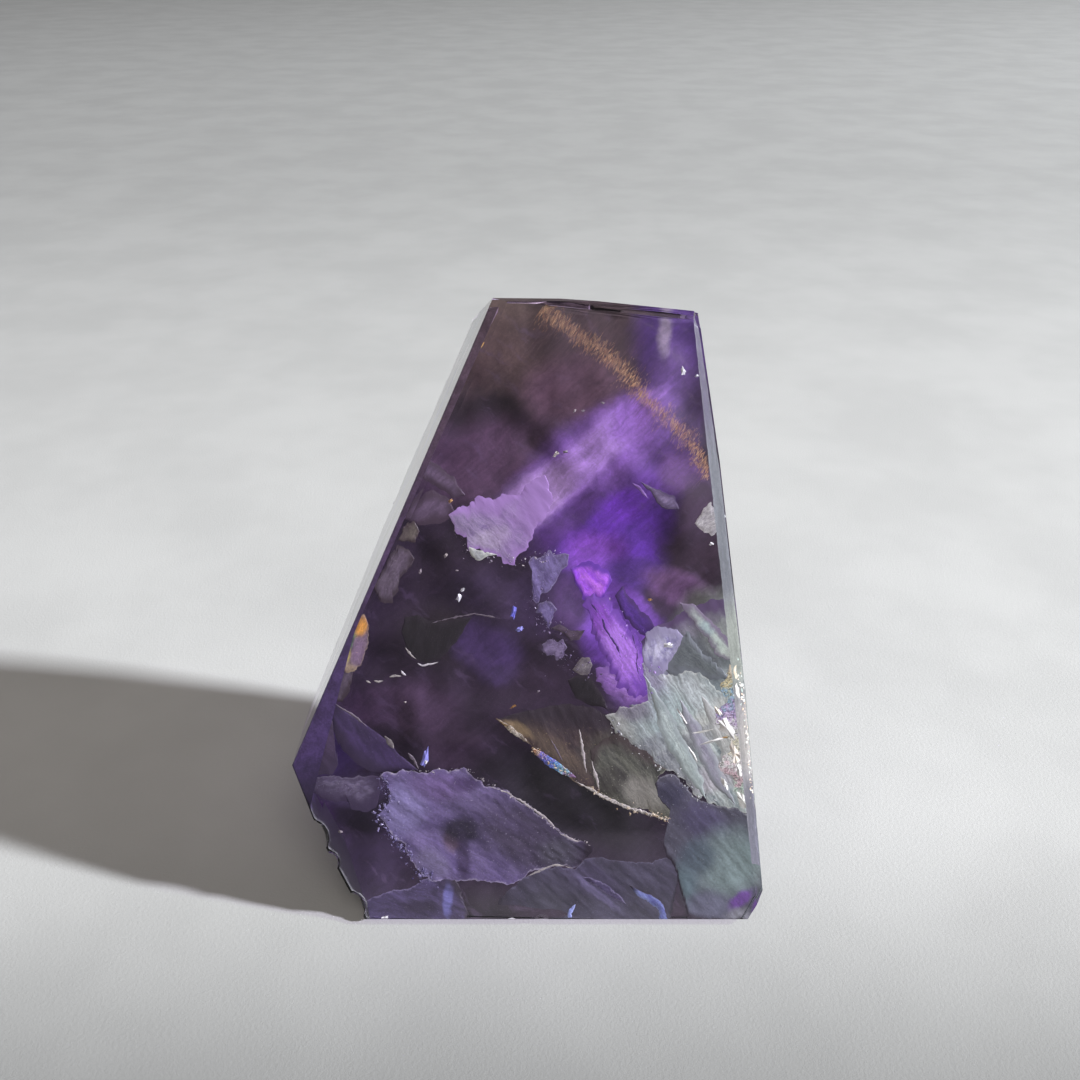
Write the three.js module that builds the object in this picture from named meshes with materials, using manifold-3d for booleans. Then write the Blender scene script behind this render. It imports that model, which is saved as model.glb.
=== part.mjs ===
// A polished fluorite freeform: one dark violet stone, sawn and ground into a leaning slab that
// tapers from a wide shoulder near its foot to a narrow crown, and stands on a flat ground base.
//
// Units are millimetres and +Z is up. The big polished face looks towards -Y and leans back. The
// origin is the middle of the stone's bounding box, on the plane that it stands on.
//
// The outline is measured on the polished face, as steps across (+X) and up the face from its lower
// edge, and its corners lie on the girdle, the line where the thin front bevels meet the sides.

import * as THREE from 'three';
import { mergeVertices } from 'three/addons/utils/BufferGeometryUtils.js';
import Module from 'manifold-3d';

// Driving dimensions, in millimetres and degrees.
const faceLean = 20; // the polished face leans back from upright
const backLean = 13.5; // the back leans less, so the slab thins towards its crown
const backYaw = 3; // the back turns a little away from the polished face
const footDepth = 38; // from the polished face's lower edge to the back, along the ground
const lipHeight = 1.2; // how high the polished face's lower edge stands off the ground
const lipRun = 1.3; // how far the undercut below that edge runs in
const girdleDepth = 1; // how far the outline lies behind the polished face
const rimWidth = 0.35; // the worn rim along the crown
const blankSize = 140; // the rough block that the stone is ground from
const heartPlace = [2, 40, 15]; // a point well inside the stone: across, up the face, inwards

// The outline on the polished face: [across, up the face].
const outline = {
  crownLeft: [-3.8, 82.2],
  crownBend: [4.5, 82.1],
  crownRight: [21.5, 80.4],
  shoulder: [24.7, 62],
  waist: [28.8, 33],
  hip: [32.1, 3.9],
  footRight: [29, -1.6],
  footLeft: [-20.9, -1.6],
  knee: [-26.9, 11],
  elbow: [-31, 21.3],
};

// Sides between outline corners. A positive flare widens the stone towards its back.
const sides = [
  { from: 'crownLeft', to: 'crownBend', flare: -4 },
  { from: 'crownBend', to: 'crownRight', flare: -6 },
  { from: 'crownRight', to: 'shoulder', flare: 3 },
  { from: 'shoulder', to: 'waist', flare: 2.5 },
  { from: 'waist', to: 'hip', flare: 1 },
  { from: 'hip', to: 'footRight', flare: -9 },
  { from: 'footLeft', to: 'knee', flare: -2 },
  { from: 'knee', to: 'elbow', flare: 1 },
  { from: 'elbow', to: 'crownLeft', flare: 6.2 },
];

// Thin bevels between the polished face and the sides: where each starts on the face, and how far it
// turns away from it.
const bevels = [
  { low: [-19, 44.8], high: [-2, 81.7], turn: 30 }, // left
  { low: [-23.1, 29.7], high: [-19, 44.8], turn: 15 }, // lower left
  { low: [30.6, 6.9], high: [20.8, 80.2], turn: 33 }, // right
];

// Large facets of the back, each through three points given as [across, up the face, inwards].
const backFacets = {
  leftHaunch: [[-25.6, 58, 31], [-33.4, 25, 17.5], [-4, -8, 34]],
  rightFlank: [[26.2, 78, 13], [35, 12, 17], [21.5, 20, 36]],
  crownSlope: [[-6, 79, 31], [23, 74, 20], [10, 66, 31]],
};

// Edge chips: where each scallop lies, as [across, up the face, inwards], its radius, and how deep
// it bites.
const chips = [
  { at: [-29.6, 24.4, 1], radius: 2.2, bite: 0.25 },
  { at: [-26.8, 11.7, 1], radius: 2.6, bite: 0.45 },
  { at: [-25.3, 8.2, 1.1], radius: 1.6, bite: 0.25 },
  { at: [-22.1, 1.6, 1], radius: 2.4, bite: 0.4 },
  { at: [2.2, -0.3, 0.2], radius: 1.6, bite: 0.25 },
  { at: [21.6, 80.3, 0.8], radius: 3.2, bite: 0.5 },
  { at: [-8.9, 70.9, 0.9], radius: 2.4, bite: 0.2 },
  { at: [28.6, 34.6, 1.1], radius: 4.5, bite: 0.4 },
  { at: [29.8, 25.6, 1.1], radius: 3.4, bite: 0.3 },
  { at: [31.2, 13.6, 1], radius: 2, bite: 0.25 },
  { at: [-7.3, 80, 29], radius: 2.4, bite: 0.5 },
  { at: [-10.4, 74.4, 30.3], radius: 1.6, bite: 0.35 },
  { at: [-20.3, 54, 30.4], radius: 2, bite: 0.5 },
  { at: [35.4, 12.6, 17.2], radius: 3, bite: 0.5 },
];

const degree = Math.PI / 180;
const across = new THREE.Vector3(1, 0, 0);
const upFace = new THREE.Vector3(0, Math.sin(faceLean * degree), Math.cos(faceLean * degree));
const inward = new THREE.Vector3(0, Math.cos(faceLean * degree), -Math.sin(faceLean * degree));
const lowerEdge = new THREE.Vector3(0, 0, lipHeight);

/** A point given by its steps across and up the polished face, and inwards from it. */
function onFace(x, up, depth = 0) {
  return lowerEdge.clone()
    .addScaledVector(across, x)
    .addScaledVector(upFace, up)
    .addScaledVector(inward, depth);
}

const heart = onFace(...heartPlace);

const wasm = await Module();
wasm.setup();

/** A closed geometry as a solid that can be joined and cut. */
function toSolid(geometry) {
  geometry.deleteAttribute('normal');
  geometry.deleteAttribute('uv');
  const merged = mergeVertices(geometry);
  return new wasm.Manifold(new wasm.Mesh({
    numProp: 3,
    vertProperties: new Float32Array(merged.attributes.position.array),
    triVerts: new Uint32Array(merged.index.array),
  }));
}

/** A solid as a geometry, for a mesh. */
function toGeometry(solid) {
  const mesh = solid.getMesh();
  const geometry = new THREE.BufferGeometry();
  geometry.setAttribute('position', new THREE.BufferAttribute(mesh.vertProperties, 3));
  geometry.setIndex(new THREE.BufferAttribute(mesh.triVerts, 1));
  geometry.computeVertexNormals();
  return geometry;
}

/** The stone ground flat along a plane: a large block laid on the plane takes off what is outside. */
function grind(stone, point, outward) {
  const wheel = new THREE.BoxGeometry(3 * blankSize, 3 * blankSize, blankSize);
  wheel.translate(0, 0, blankSize / 2);
  wheel.applyQuaternion(new THREE.Quaternion().setFromUnitVectors(
    new THREE.Vector3(0, 0, 1),
    outward.clone().normalize(),
  ));
  wheel.translate(point.x, point.y, point.z);
  return stone.subtract(toSolid(wheel));
}

/** The direction, turned if need be so that it points away from the stone's heart. */
function awayFromHeart(direction, point) {
  const away = point.clone().sub(heart).dot(direction) > 0;
  return away ? direction : direction.clone().negate();
}

/** The direction in the polished face's plane that points out of a line across it. */
function outOfLine(start, end) {
  const along = end.clone().sub(start).normalize();
  return awayFromHeart(along.cross(inward).normalize(), start);
}

/** The polished face, the crown's worn rim, the undercut, the ground base and the back. */
function grindFaces(stone) {
  const outOfFace = inward.clone().negate();
  const yaw = backYaw * degree;
  const lean = backLean * degree;
  const outOfBack = new THREE.Vector3(
    Math.sin(yaw) * Math.cos(lean),
    Math.cos(yaw) * Math.cos(lean),
    -Math.sin(lean),
  );
  const crown = onFace(...outline.crownBend, girdleDepth);
  const rim = onFace(0, outline.crownBend[1] - rimWidth);
  const rimSide = new THREE.Vector3().crossVectors(across, crown.clone().sub(rim)).setX(0);
  const undercut = new THREE.Vector3(0, -lipHeight, -lipRun);
  let ground = grind(stone, lowerEdge, outOfFace);
  ground = grind(ground, rim, awayFromHeart(rimSide, rim));
  ground = grind(ground, lowerEdge, undercut);
  ground = grind(ground, new THREE.Vector3(), new THREE.Vector3(0, 0, -1));
  return grind(ground, new THREE.Vector3(0, footDepth, 0), outOfBack);
}

/** The sides, each through two corners of the outline and turned by its flare. */
function grindSides(stone) {
  return sides.reduce((ground, { from, to, flare }) => {
    const start = onFace(...outline[from], girdleDepth);
    const end = onFace(...outline[to], girdleDepth);
    const outward = outOfLine(start, end).multiplyScalar(Math.cos(flare * degree))
      .addScaledVector(inward, -Math.sin(flare * degree));
    return grind(ground, start, outward);
  }, stone);
}

/** The thin bevels beside the polished face. */
function grindBevels(stone) {
  return bevels.reduce((ground, { low, high, turn }) => {
    const start = onFace(...low);
    const outward = outOfLine(start, onFace(...high)).multiplyScalar(Math.sin(turn * degree))
      .addScaledVector(inward, -Math.cos(turn * degree));
    return grind(ground, start, outward);
  }, stone);
}

/** The large facets of the back, each through its three points. */
function grindBack(stone) {
  return Object.values(backFacets).reduce((ground, corners) => {
    const [first, second, third] = corners.map((corner) => onFace(...corner));
    const outward = new THREE.Plane().setFromCoplanarPoints(first, second, third).normal;
    return grind(ground, first, awayFromHeart(outward, first));
  }, stone);
}

/** The scallops that knocks have left along the edges, each turned its own way by its place. */
function knockChips(stone) {
  const [middle, , depth] = heartPlace;
  return chips.reduce((chipped, { at, radius, bite }) => {
    const edge = onFace(...at);
    const outward = edge.clone().sub(onFace(middle, at[1], depth)).normalize();
    const scallop = new THREE.IcosahedronGeometry(radius, 1);
    scallop.rotateZ(at[0]).rotateX(at[1]);
    const centre = edge.addScaledVector(outward, radius - bite);
    scallop.translate(centre.x, centre.y, centre.z);
    return chipped.subtract(toSolid(scallop));
  }, stone);
}

/** The whole stone, moved so that the middle of its footprint's box is the origin. */
function cutStone() {
  const blank = new THREE.BoxGeometry(blankSize, blankSize, 2 * blankSize);
  const faced = grindFaces(toSolid(blank));
  const geometry = toGeometry(knockChips(grindBack(grindBevels(grindSides(faced)))));
  geometry.computeBoundingBox();
  const middle = geometry.boundingBox.getCenter(new THREE.Vector3());
  return geometry.translate(-middle.x, -middle.y, -geometry.boundingBox.min.z);
}

const violet = new THREE.MeshStandardMaterial({ color: 0x3a2350, roughness: 0.08, metalness: 0 });
const fluorite = new THREE.Mesh(cutStone(), violet);
fluorite.name = 'fluorite';

const stand = new THREE.Group();
stand.add(fluorite);

export default stand;
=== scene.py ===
"""A polished freeform of dark violet fluorite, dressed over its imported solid.

The stone itself is the solid from the frame, see-through and faintly violet. What gives it its look
lies inside: growth zones, cleavage veils, cracks, flakes and glints. Each veil is a thin closed lens
drawn on the polished face, as steps across and up it in millimetres, and then sunk into the stone
along the line of sight, which the stone's surface bends.
"""

import logging
import math
from collections.abc import Sequence
from dataclasses import dataclass, replace
from enum import Enum

import bpy
import numpy as np
from mathutils import Matrix, Vector


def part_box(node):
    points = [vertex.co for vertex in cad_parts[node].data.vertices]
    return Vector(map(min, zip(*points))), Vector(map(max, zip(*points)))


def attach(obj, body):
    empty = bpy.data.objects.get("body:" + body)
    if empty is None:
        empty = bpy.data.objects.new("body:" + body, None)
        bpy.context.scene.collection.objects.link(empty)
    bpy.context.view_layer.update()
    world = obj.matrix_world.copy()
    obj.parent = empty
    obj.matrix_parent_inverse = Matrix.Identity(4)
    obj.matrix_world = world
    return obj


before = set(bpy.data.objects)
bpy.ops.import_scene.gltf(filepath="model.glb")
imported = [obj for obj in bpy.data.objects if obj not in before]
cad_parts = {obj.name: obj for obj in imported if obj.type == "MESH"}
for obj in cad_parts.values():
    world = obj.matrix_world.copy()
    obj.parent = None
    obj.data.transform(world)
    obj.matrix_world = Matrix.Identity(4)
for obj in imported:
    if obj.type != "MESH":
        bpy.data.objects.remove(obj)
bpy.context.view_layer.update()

log = logging.getLogger("fluorite")

MM = 0.001
STONE = "fluorite"
BODY = "root"

Array = np.ndarray
Spot = tuple[float, float]
Tone = tuple[int, int, int]
Triple = tuple[float, float, float]
Colour = tuple[float, float, float, float]
Flake = tuple[float, float, float, float, float]
Socket = bpy.types.NodeSocket
Piece = bpy.types.Object
Material = bpy.types.Material

CAMERA_PLACE = (2.0, -130.418, 120.0)  # millimetres
CAMERA_DIP = 30.0  # degrees that the camera looks down
IMAGE_SIDE = 1080.0  # the square image's side
FOCAL = 1100.0  # the camera's focal length, in the image's own units
SENSOR = 36.0
ZONE_THICKNESS = 30 * MM  # how far a patch of colour goes on into the stone
RIM_WIDTH = 1.4  # millimetres from a veil's border over which its rim fades
MIDDLE_RUN = 0.115  # how far the stone's middle runs to the right for each step of height


def linear(tone: Tone) -> Colour:
    """A display tone of 0 to 255 as linear light.

    Args:
        tone: Red, green and blue as a display shows them.

    Returns:
        The same colour in linear light, with an alpha of 1.
    """
    shares = [part / 255 for part in tone]
    light = [s / 12.92 if s <= 0.04045 else ((s + 0.055) / 1.055) ** 2.4 for s in shares]
    return (light[0], light[1], light[2], 1.0)


# -------------------- places in the stone


@dataclass(frozen=True)
class PolishedFace:
    """The big leaning face as a drawing board: across (+X), up the face, and inwards.

    All steps are in millimetres.
    """

    front: float
    lip: float = 1.2
    lean: float = math.radians(20.0)
    bending: float = 1.434

    @property
    def up(self) -> Array:
        """The direction up the face."""
        return np.array((0.0, math.sin(self.lean), math.cos(self.lean)))

    @property
    def inward(self) -> Array:
        """The direction into the stone, square to the face."""
        return np.array((0.0, math.cos(self.lean), -math.sin(self.lean)))

    @property
    def edge(self) -> Array:
        """The middle of the face's lower edge."""
        return np.array((0.0, self.front, self.lip))

    def place(self, across: Array, up: Array, depth: Array | float) -> Array:
        """Points given by their steps across, up and inwards.

        Args:
            across: Steps across the face.
            up: Steps up the face.
            depth: Steps into the stone.

        Returns:
            The points, with one more axis of three.
        """
        across, up, depth = np.broadcast_arrays(across, up, depth)
        beside = self.edge + across[..., None] * np.array((1.0, 0.0, 0.0))
        return beside + up[..., None] * self.up + depth[..., None] * self.inward

    def sink(self, across: Array, up: Array, depth: Array | float) -> Array:
        """Points that lie at a depth and are seen at a place on the face.

        The line of sight meets the face at a slant and bends towards its normal, so a deep point
        lies further out than where it is seen, by the depth times the tangent of the bent angle.

        Args:
            across: Where the points are seen, across the face.
            up: Where they are seen, up the face.
            depth: How deep they lie.

        Returns:
            The points, with one more axis of three.
        """
        eye = np.array(CAMERA_PLACE) - self.edge
        off_face = -eye @ self.inward
        run_across = np.asarray(across, float) - eye[0]
        run_up = np.asarray(up, float) - eye @ self.up
        run = np.hypot(run_across, run_up)
        bent = np.arcsin(np.sin(np.arctan2(run, off_face)) / self.bending)
        shift = depth * np.tan(bent) / np.maximum(run, 1e-9)
        return self.place(across + shift * run_across, up + shift * run_up, depth)

    def level(self, height: Array, depth: Array | float) -> Array:
        """The steps up the face at which points of a depth stand at a height above the floor."""
        return (height - self.lip + depth * math.sin(self.lean)) / math.cos(self.lean)

    def turn(self, lie: float) -> Matrix:
        """The turn from the object's axes to across, up and out of the face, rolled by lie degrees."""
        upright = math.pi / 2 - self.lean
        roll = Matrix.Rotation(math.radians(lie), 3, "Z")
        return Matrix.Rotation(upright, 3, "X") @ roll


class Walls:
    """The stone's outside: one plane for each large facet, with its normal outwards, and its chips.

    A chip's hollow is the space outside all of its small facets at once.
    """

    LEAST_WALL = 3.0  # square millimetres: smaller facets belong to chips
    LEAST_FACET = 0.02  # square millimetres: smaller ones are slivers, and left out
    CHIP_GAP = 0.9  # small facets closer than this belong to one chip
    CHIP_REACH = 5.0  # a chip holds points this near to its middle
    PASSES = 4

    def __init__(self, stone: Piece) -> None:
        """Reads the facets of the solid.

        Args:
            stone: The solid's object.
        """
        faces = stone.data.polygons
        normals = np.empty((len(faces), 3))
        faces.foreach_get("normal", normals.ravel())
        centres = np.empty((len(faces), 3))
        faces.foreach_get("center", centres.ravel())
        areas = np.empty(len(faces))
        faces.foreach_get("area", areas)
        group = np.unique(np.round(normals, 2), axis=0, return_inverse=True)[1].ravel()
        mean = np.stack([np.bincount(group, areas * part) for part in normals.T], axis=1)
        mean /= np.linalg.norm(mean, axis=1, keepdims=True)
        total = np.bincount(group, areas) / MM**2
        reach = np.einsum("ij,ij->i", mean[group], centres) / MM
        offsets = np.bincount(group, areas * reach) / np.bincount(group, areas)
        kept = total > self.LEAST_WALL
        self.normals = mean[kept]
        self.offsets = offsets[kept]
        small = ~kept[group] & (areas > self.LEAST_FACET * MM**2)
        spots = centres[small] / MM
        near = np.linalg.norm(spots[:, None] - spots[None], axis=2) < self.CHIP_GAP
        chip = np.arange(len(spots))
        for _ in spots:
            chip = np.where(near, chip[None], len(spots)).min(axis=1)
        parts = (chip == key for key in np.unique(chip))
        level = np.einsum("ij,ij->i", normals[small], spots)
        self.chips = [(spots[part].mean(axis=0), normals[small][part], level[part]) for part in parts]

    def hold(self, points: Array, inset: float) -> Array:
        """Points pushed straight in from each wall and chip until they lie that far inside them all.

        Args:
            points: Points in millimetres.
            inset: The least distance to keep from a wall.

        Returns:
            The held points.
        """
        held = points.copy()
        for _ in range(self.PASSES):
            for normal, offset in zip(self.normals, self.offsets):
                beyond = np.maximum(held @ normal - (offset - inset), 0.0)
                held -= beyond[..., None] * normal
        for middle, normals, offsets in self.chips:
            near = np.linalg.norm(held - middle, axis=-1) < self.CHIP_REACH
            depth = held[near] @ normals.T - offsets + inset
            facet = depth.argmin(axis=-1)
            beyond = np.maximum(depth.min(axis=-1), 0.0)
            held[near] -= beyond[:, None] * normals[facet]
        return held

    def within(self, points: Array, inset: float) -> Array:
        """True for each point that lies at least the inset inside all the walls."""
        return np.all(points @ self.normals.T < self.offsets - inset, axis=-1)

    def room(self, centres: Array, ways: Array, inset: float) -> Array:
        """How far it is from points inside the stone to the nearest wall along their ways.

        Args:
            centres: Points inside the stone, one a row.
            ways: Unit directions, one a row, or one for all.
            inset: The distance to keep from the walls.

        Returns:
            The distance from each point.
        """
        slope = np.atleast_2d(ways) @ self.normals.T
        gap = self.offsets - inset - np.atleast_2d(centres) @ self.normals.T
        steps = np.where(slope > 1e-6, gap / np.maximum(slope, 1e-6), np.inf)
        return np.maximum(steps.min(axis=1), 0.0)


# -------------------- noise and meshes


def lattice_noise(x: Array, y: Array | float, seed: int, smooth: bool = True) -> Array:
    """Noise from -1 to 1: each whole-numbered corner has its own height, blended in between.

    Args:
        x: First coordinate.
        y: Second coordinate.
        seed: Picks the set of heights.
        smooth: Blend by a smooth step, or straight, which leaves sharp teeth.

    Returns:
        The noise at each point.
    """
    x, y = np.broadcast_arrays(np.asarray(x, float), np.asarray(y, float))
    column, row = (np.floor(part).astype(np.int64) for part in (x, y))
    s, t = x - column, y - row
    if smooth:
        s, t = (part * part * (3 - 2 * part) for part in (s, t))

    def corner(right: int, over: int) -> Array:
        """The height of one corner of each cell."""
        mix = (column + right) * 374761393 + (row + over) * 668265263 + seed * 974634777
        mix = (mix ^ (mix >> 13)) & 0x7FFFFFFF
        mix = (mix * 1274126177) & 0x7FFFFFFFFFFF
        mix = mix ^ (mix >> 16)
        return (mix & 0xFFFF) / 32767.5 - 1.0

    low = corner(0, 0) * (1 - s) + corner(1, 0) * s
    high = corner(0, 1) * (1 - s) + corner(1, 1) * s
    return low * (1 - t) + high * t


def fractal(x: Array, y: Array | float, seed: int, octaves: int = 4, smooth: bool = True) -> Array:
    """Lattice noise added up at halved sizes, each 0.55 times as strong as the one before."""
    total = np.zeros(np.broadcast(x, y).shape)
    for octave in range(octaves):
        scale = 2.0**octave
        layer = lattice_noise(np.asarray(x) * scale, np.asarray(y) * scale, seed + octave, smooth)
        total = total + layer * 0.55**octave
    return total


def rail(*steps: float) -> tuple[Spot, ...]:
    """A rail's corners, from the steps across and up of each in turn."""
    return tuple(zip(steps[::2], steps[1::2], strict=True))


def resampled(corners: Sequence[Spot], count: int) -> Array:
    """A rail's points spread evenly by length.

    Args:
        corners: The rail's corners.
        count: How many points to give.

    Returns:
        The points, one a row.
    """
    corners = np.asarray(corners, float)
    lengths = np.hypot(*np.diff(corners, axis=0).T)
    along = np.concatenate(([0.0], np.cumsum(lengths)))
    steps = np.linspace(0, along[-1], count)
    return np.stack([np.interp(steps, along, corners[:, axis]) for axis in (0, 1)], axis=1)


def left_of(ways: Array) -> Array:
    """Each way turned a quarter to its left."""
    return np.stack((-ways[:, 1], ways[:, 0]), axis=1)


def sideways(points: Array) -> Array:
    """The unit way to the left of a line at each of its points."""
    along = np.gradient(points, axis=0)
    return left_of(along / np.maximum(np.linalg.norm(along, axis=1, keepdims=True), 1e-9))


def torn(corners: Sequence[Spot], count: int, bite: float, tooth: float, seed: int) -> Array:
    """A rail with torn teeth: its points move sideways by sharp noise of their run along it.

    Args:
        corners: The rail's corners.
        count: How many points to give.
        bite: How deep the teeth are.
        tooth: How long the longest are.
        seed: Picks the teeth.

    Returns:
        The points, one a row. The two ends stay where they are.
    """
    points = resampled(corners, count)
    run = np.concatenate(([0.0], np.cumsum(np.hypot(*np.diff(points, axis=0).T))))
    calm = np.clip(np.minimum(run, run[-1] - run) / (1.5 * tooth), 0, 1)
    side = bite * calm * fractal(run / tooth, 0.5, seed, 4, smooth=False)
    return points + side[:, None] * sideways(points)


def split_quads(index: Array) -> Array:
    """Two triangles for each cell of a grid of vertex numbers, without those that have no area."""
    a, b = index[:-1, :-1].ravel(), index[:-1, 1:].ravel()
    c, d = index[1:, 1:].ravel(), index[1:, :-1].ravel()
    faces = np.concatenate((np.stack((a, b, c), axis=1), np.stack((a, c, d), axis=1)))
    return faces[(faces != np.roll(faces, 1, axis=1)).all(axis=1)]


def gem_faces(corners: int, count: int) -> Array:
    """The triangles of many closed gems, each a ring of corners, a front middle and a back middle.

    Args:
        corners: How many corners each ring has.
        count: How many gems there are.

    Returns:
        The triangles: every side of a ring goes to its front middle, and back to its back middle.
    """
    ring = np.arange(corners)
    after = (ring + 1) % corners
    front = np.stack((ring, after, np.full(corners, corners)), axis=1)
    back = np.stack((after, ring, np.full(corners, corners + 1)), axis=1)
    one = np.concatenate((front, back))
    return (one[None] + (corners + 2) * np.arange(count)[:, None, None]).reshape(-1, 3)


@dataclass(frozen=True)
class RailGrid:
    """A grid of points between two rails that meet at both ends.

    u runs along the rails and v from the upper to the lower one. rim falls from 1 on the border to 0
    a little way in, and middle is 0 on the border and 1 in the middle.
    """

    across: Array
    up: Array
    u: Array
    v: Array
    rim: Array
    middle: Array


def rail_grid(
    upper: Sequence[Spot], lower: Sequence[Spot], bite: float, tooth: float, seed: int
) -> RailGrid:
    """Fills the space between two torn rails.

    A point is the upper rail's share of one less v and the lower rail's share of v, at the same
    share u of their lengths.

    Args:
        upper: The upper rail's corners, from left to right.
        lower: The lower rail's corners.
        bite: How deep the rails' teeth are.
        tooth: How long the teeth are.
        seed: Picks the teeth.

    Returns:
        The grid.
    """
    length = max(np.hypot(*np.diff(np.asarray(edge), axis=0).T).sum() for edge in (upper, lower))
    count = int(np.clip(length / 0.16, 40, 420))
    high = torn(upper, count, bite, tooth, seed)
    low = torn(lower, count, bite, tooth, seed + 50)
    width = np.hypot(*(high - low).T)
    u = np.linspace(0, 1, count)[:, None]
    v = np.linspace(0, 1, int(np.clip(width.max() / 0.45, 8, 60)))[None, :]
    spot = high[:, None] * (1 - v[..., None]) + low[:, None] * v[..., None]
    from_side = np.minimum(v, 1 - v) * width[:, None]
    rim = np.clip(1.0 - np.minimum(from_side, np.minimum(u, 1 - u) * length) / RIM_WIDTH, 0, 1)
    middle = (4 * v * (1 - v)) ** 0.5 * (4 * u * (1 - u)) ** 0.25
    return RailGrid(spot[..., 0], spot[..., 1], u, v, rim, middle)


def mesh_object(
    name: str, points: Array, faces: Array, values: dict[str, Array], crease: float = 50.0
) -> Piece:
    """An object in metres from points in millimetres.

    Args:
        name: The object's name.
        points: Points, one a row.
        faces: Triangles of vertex numbers.
        values: A number for each point, by attribute name.
        crease: Edges sharper than this many degrees stay sharp.

    Returns:
        The object, linked to the scene.
    """
    used, index = np.unique(faces, return_inverse=True)
    faces = index.reshape(-1, 3)
    mesh = bpy.data.meshes.new(name)
    mesh.vertices.add(len(used))
    mesh.vertices.foreach_set("co", (points[used] * MM).ravel())
    mesh.loops.add(faces.size)
    mesh.loops.foreach_set("vertex_index", faces.ravel())
    mesh.polygons.add(len(faces))
    mesh.polygons.foreach_set("loop_start", np.arange(0, faces.size, 3))
    mesh.update(calc_edges=True)
    mesh.polygons.foreach_set("use_smooth", np.ones(len(faces), bool))
    for key, numbers in values.items():
        layer = mesh.attributes.new(key, "FLOAT", "POINT")
        layer.data.foreach_set("value", numbers.ravel()[used].astype(np.float32))
    mesh.set_sharp_from_angle(angle=math.radians(crease))
    mesh.validate()
    piece = bpy.data.objects.new(name, mesh)
    bpy.context.scene.collection.objects.link(piece)
    return piece


def lens_object(
    name: str, front: Array, back: Array, values: dict[str, Array], pointed: bool = True
) -> Piece:
    """A closed thin piece from a front and a back grid that meet along their border.

    Args:
        name: The object's name.
        front: Grid of points on the side that is seen.
        back: The same grid on the other side.
        values: A number for each point of the grid, by attribute name.
        pointed: True if the first and the last row are each one point.

    Returns:
        The object.
    """
    count = front.shape[0] * front.shape[1]
    top = np.arange(count).reshape(front.shape[:2])
    if pointed:
        top[0], top[-1] = top[0, 0], top[-1, 0]
    under = top + count
    under[:, 0], under[:, -1] = top[:, 0], top[:, -1]
    under[0], under[-1] = top[0], top[-1]
    faces = np.concatenate((split_quads(top), split_quads(under)[:, ::-1]))
    points = np.concatenate((front.reshape(-1, 3), back.reshape(-1, 3)))
    doubled = {key: np.concatenate((part.ravel(), part.ravel())) for key, part in values.items()}
    return mesh_object(name, points, faces, doubled)


def fit_out(piece: Piece, material: Material, shades: bool = True) -> None:
    """Gives a piece its material and its body, and reports it.

    Args:
        piece: The piece.
        material: Its material.
        shades: False if it is so thin that light passes it.
    """
    piece.data.materials.append(material)
    piece.visible_shadow = shades
    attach(piece, BODY)
    log.info("%s: %d faces, %s", piece.name, len(piece.data.polygons), material.name)


# -------------------- finishes


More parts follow.
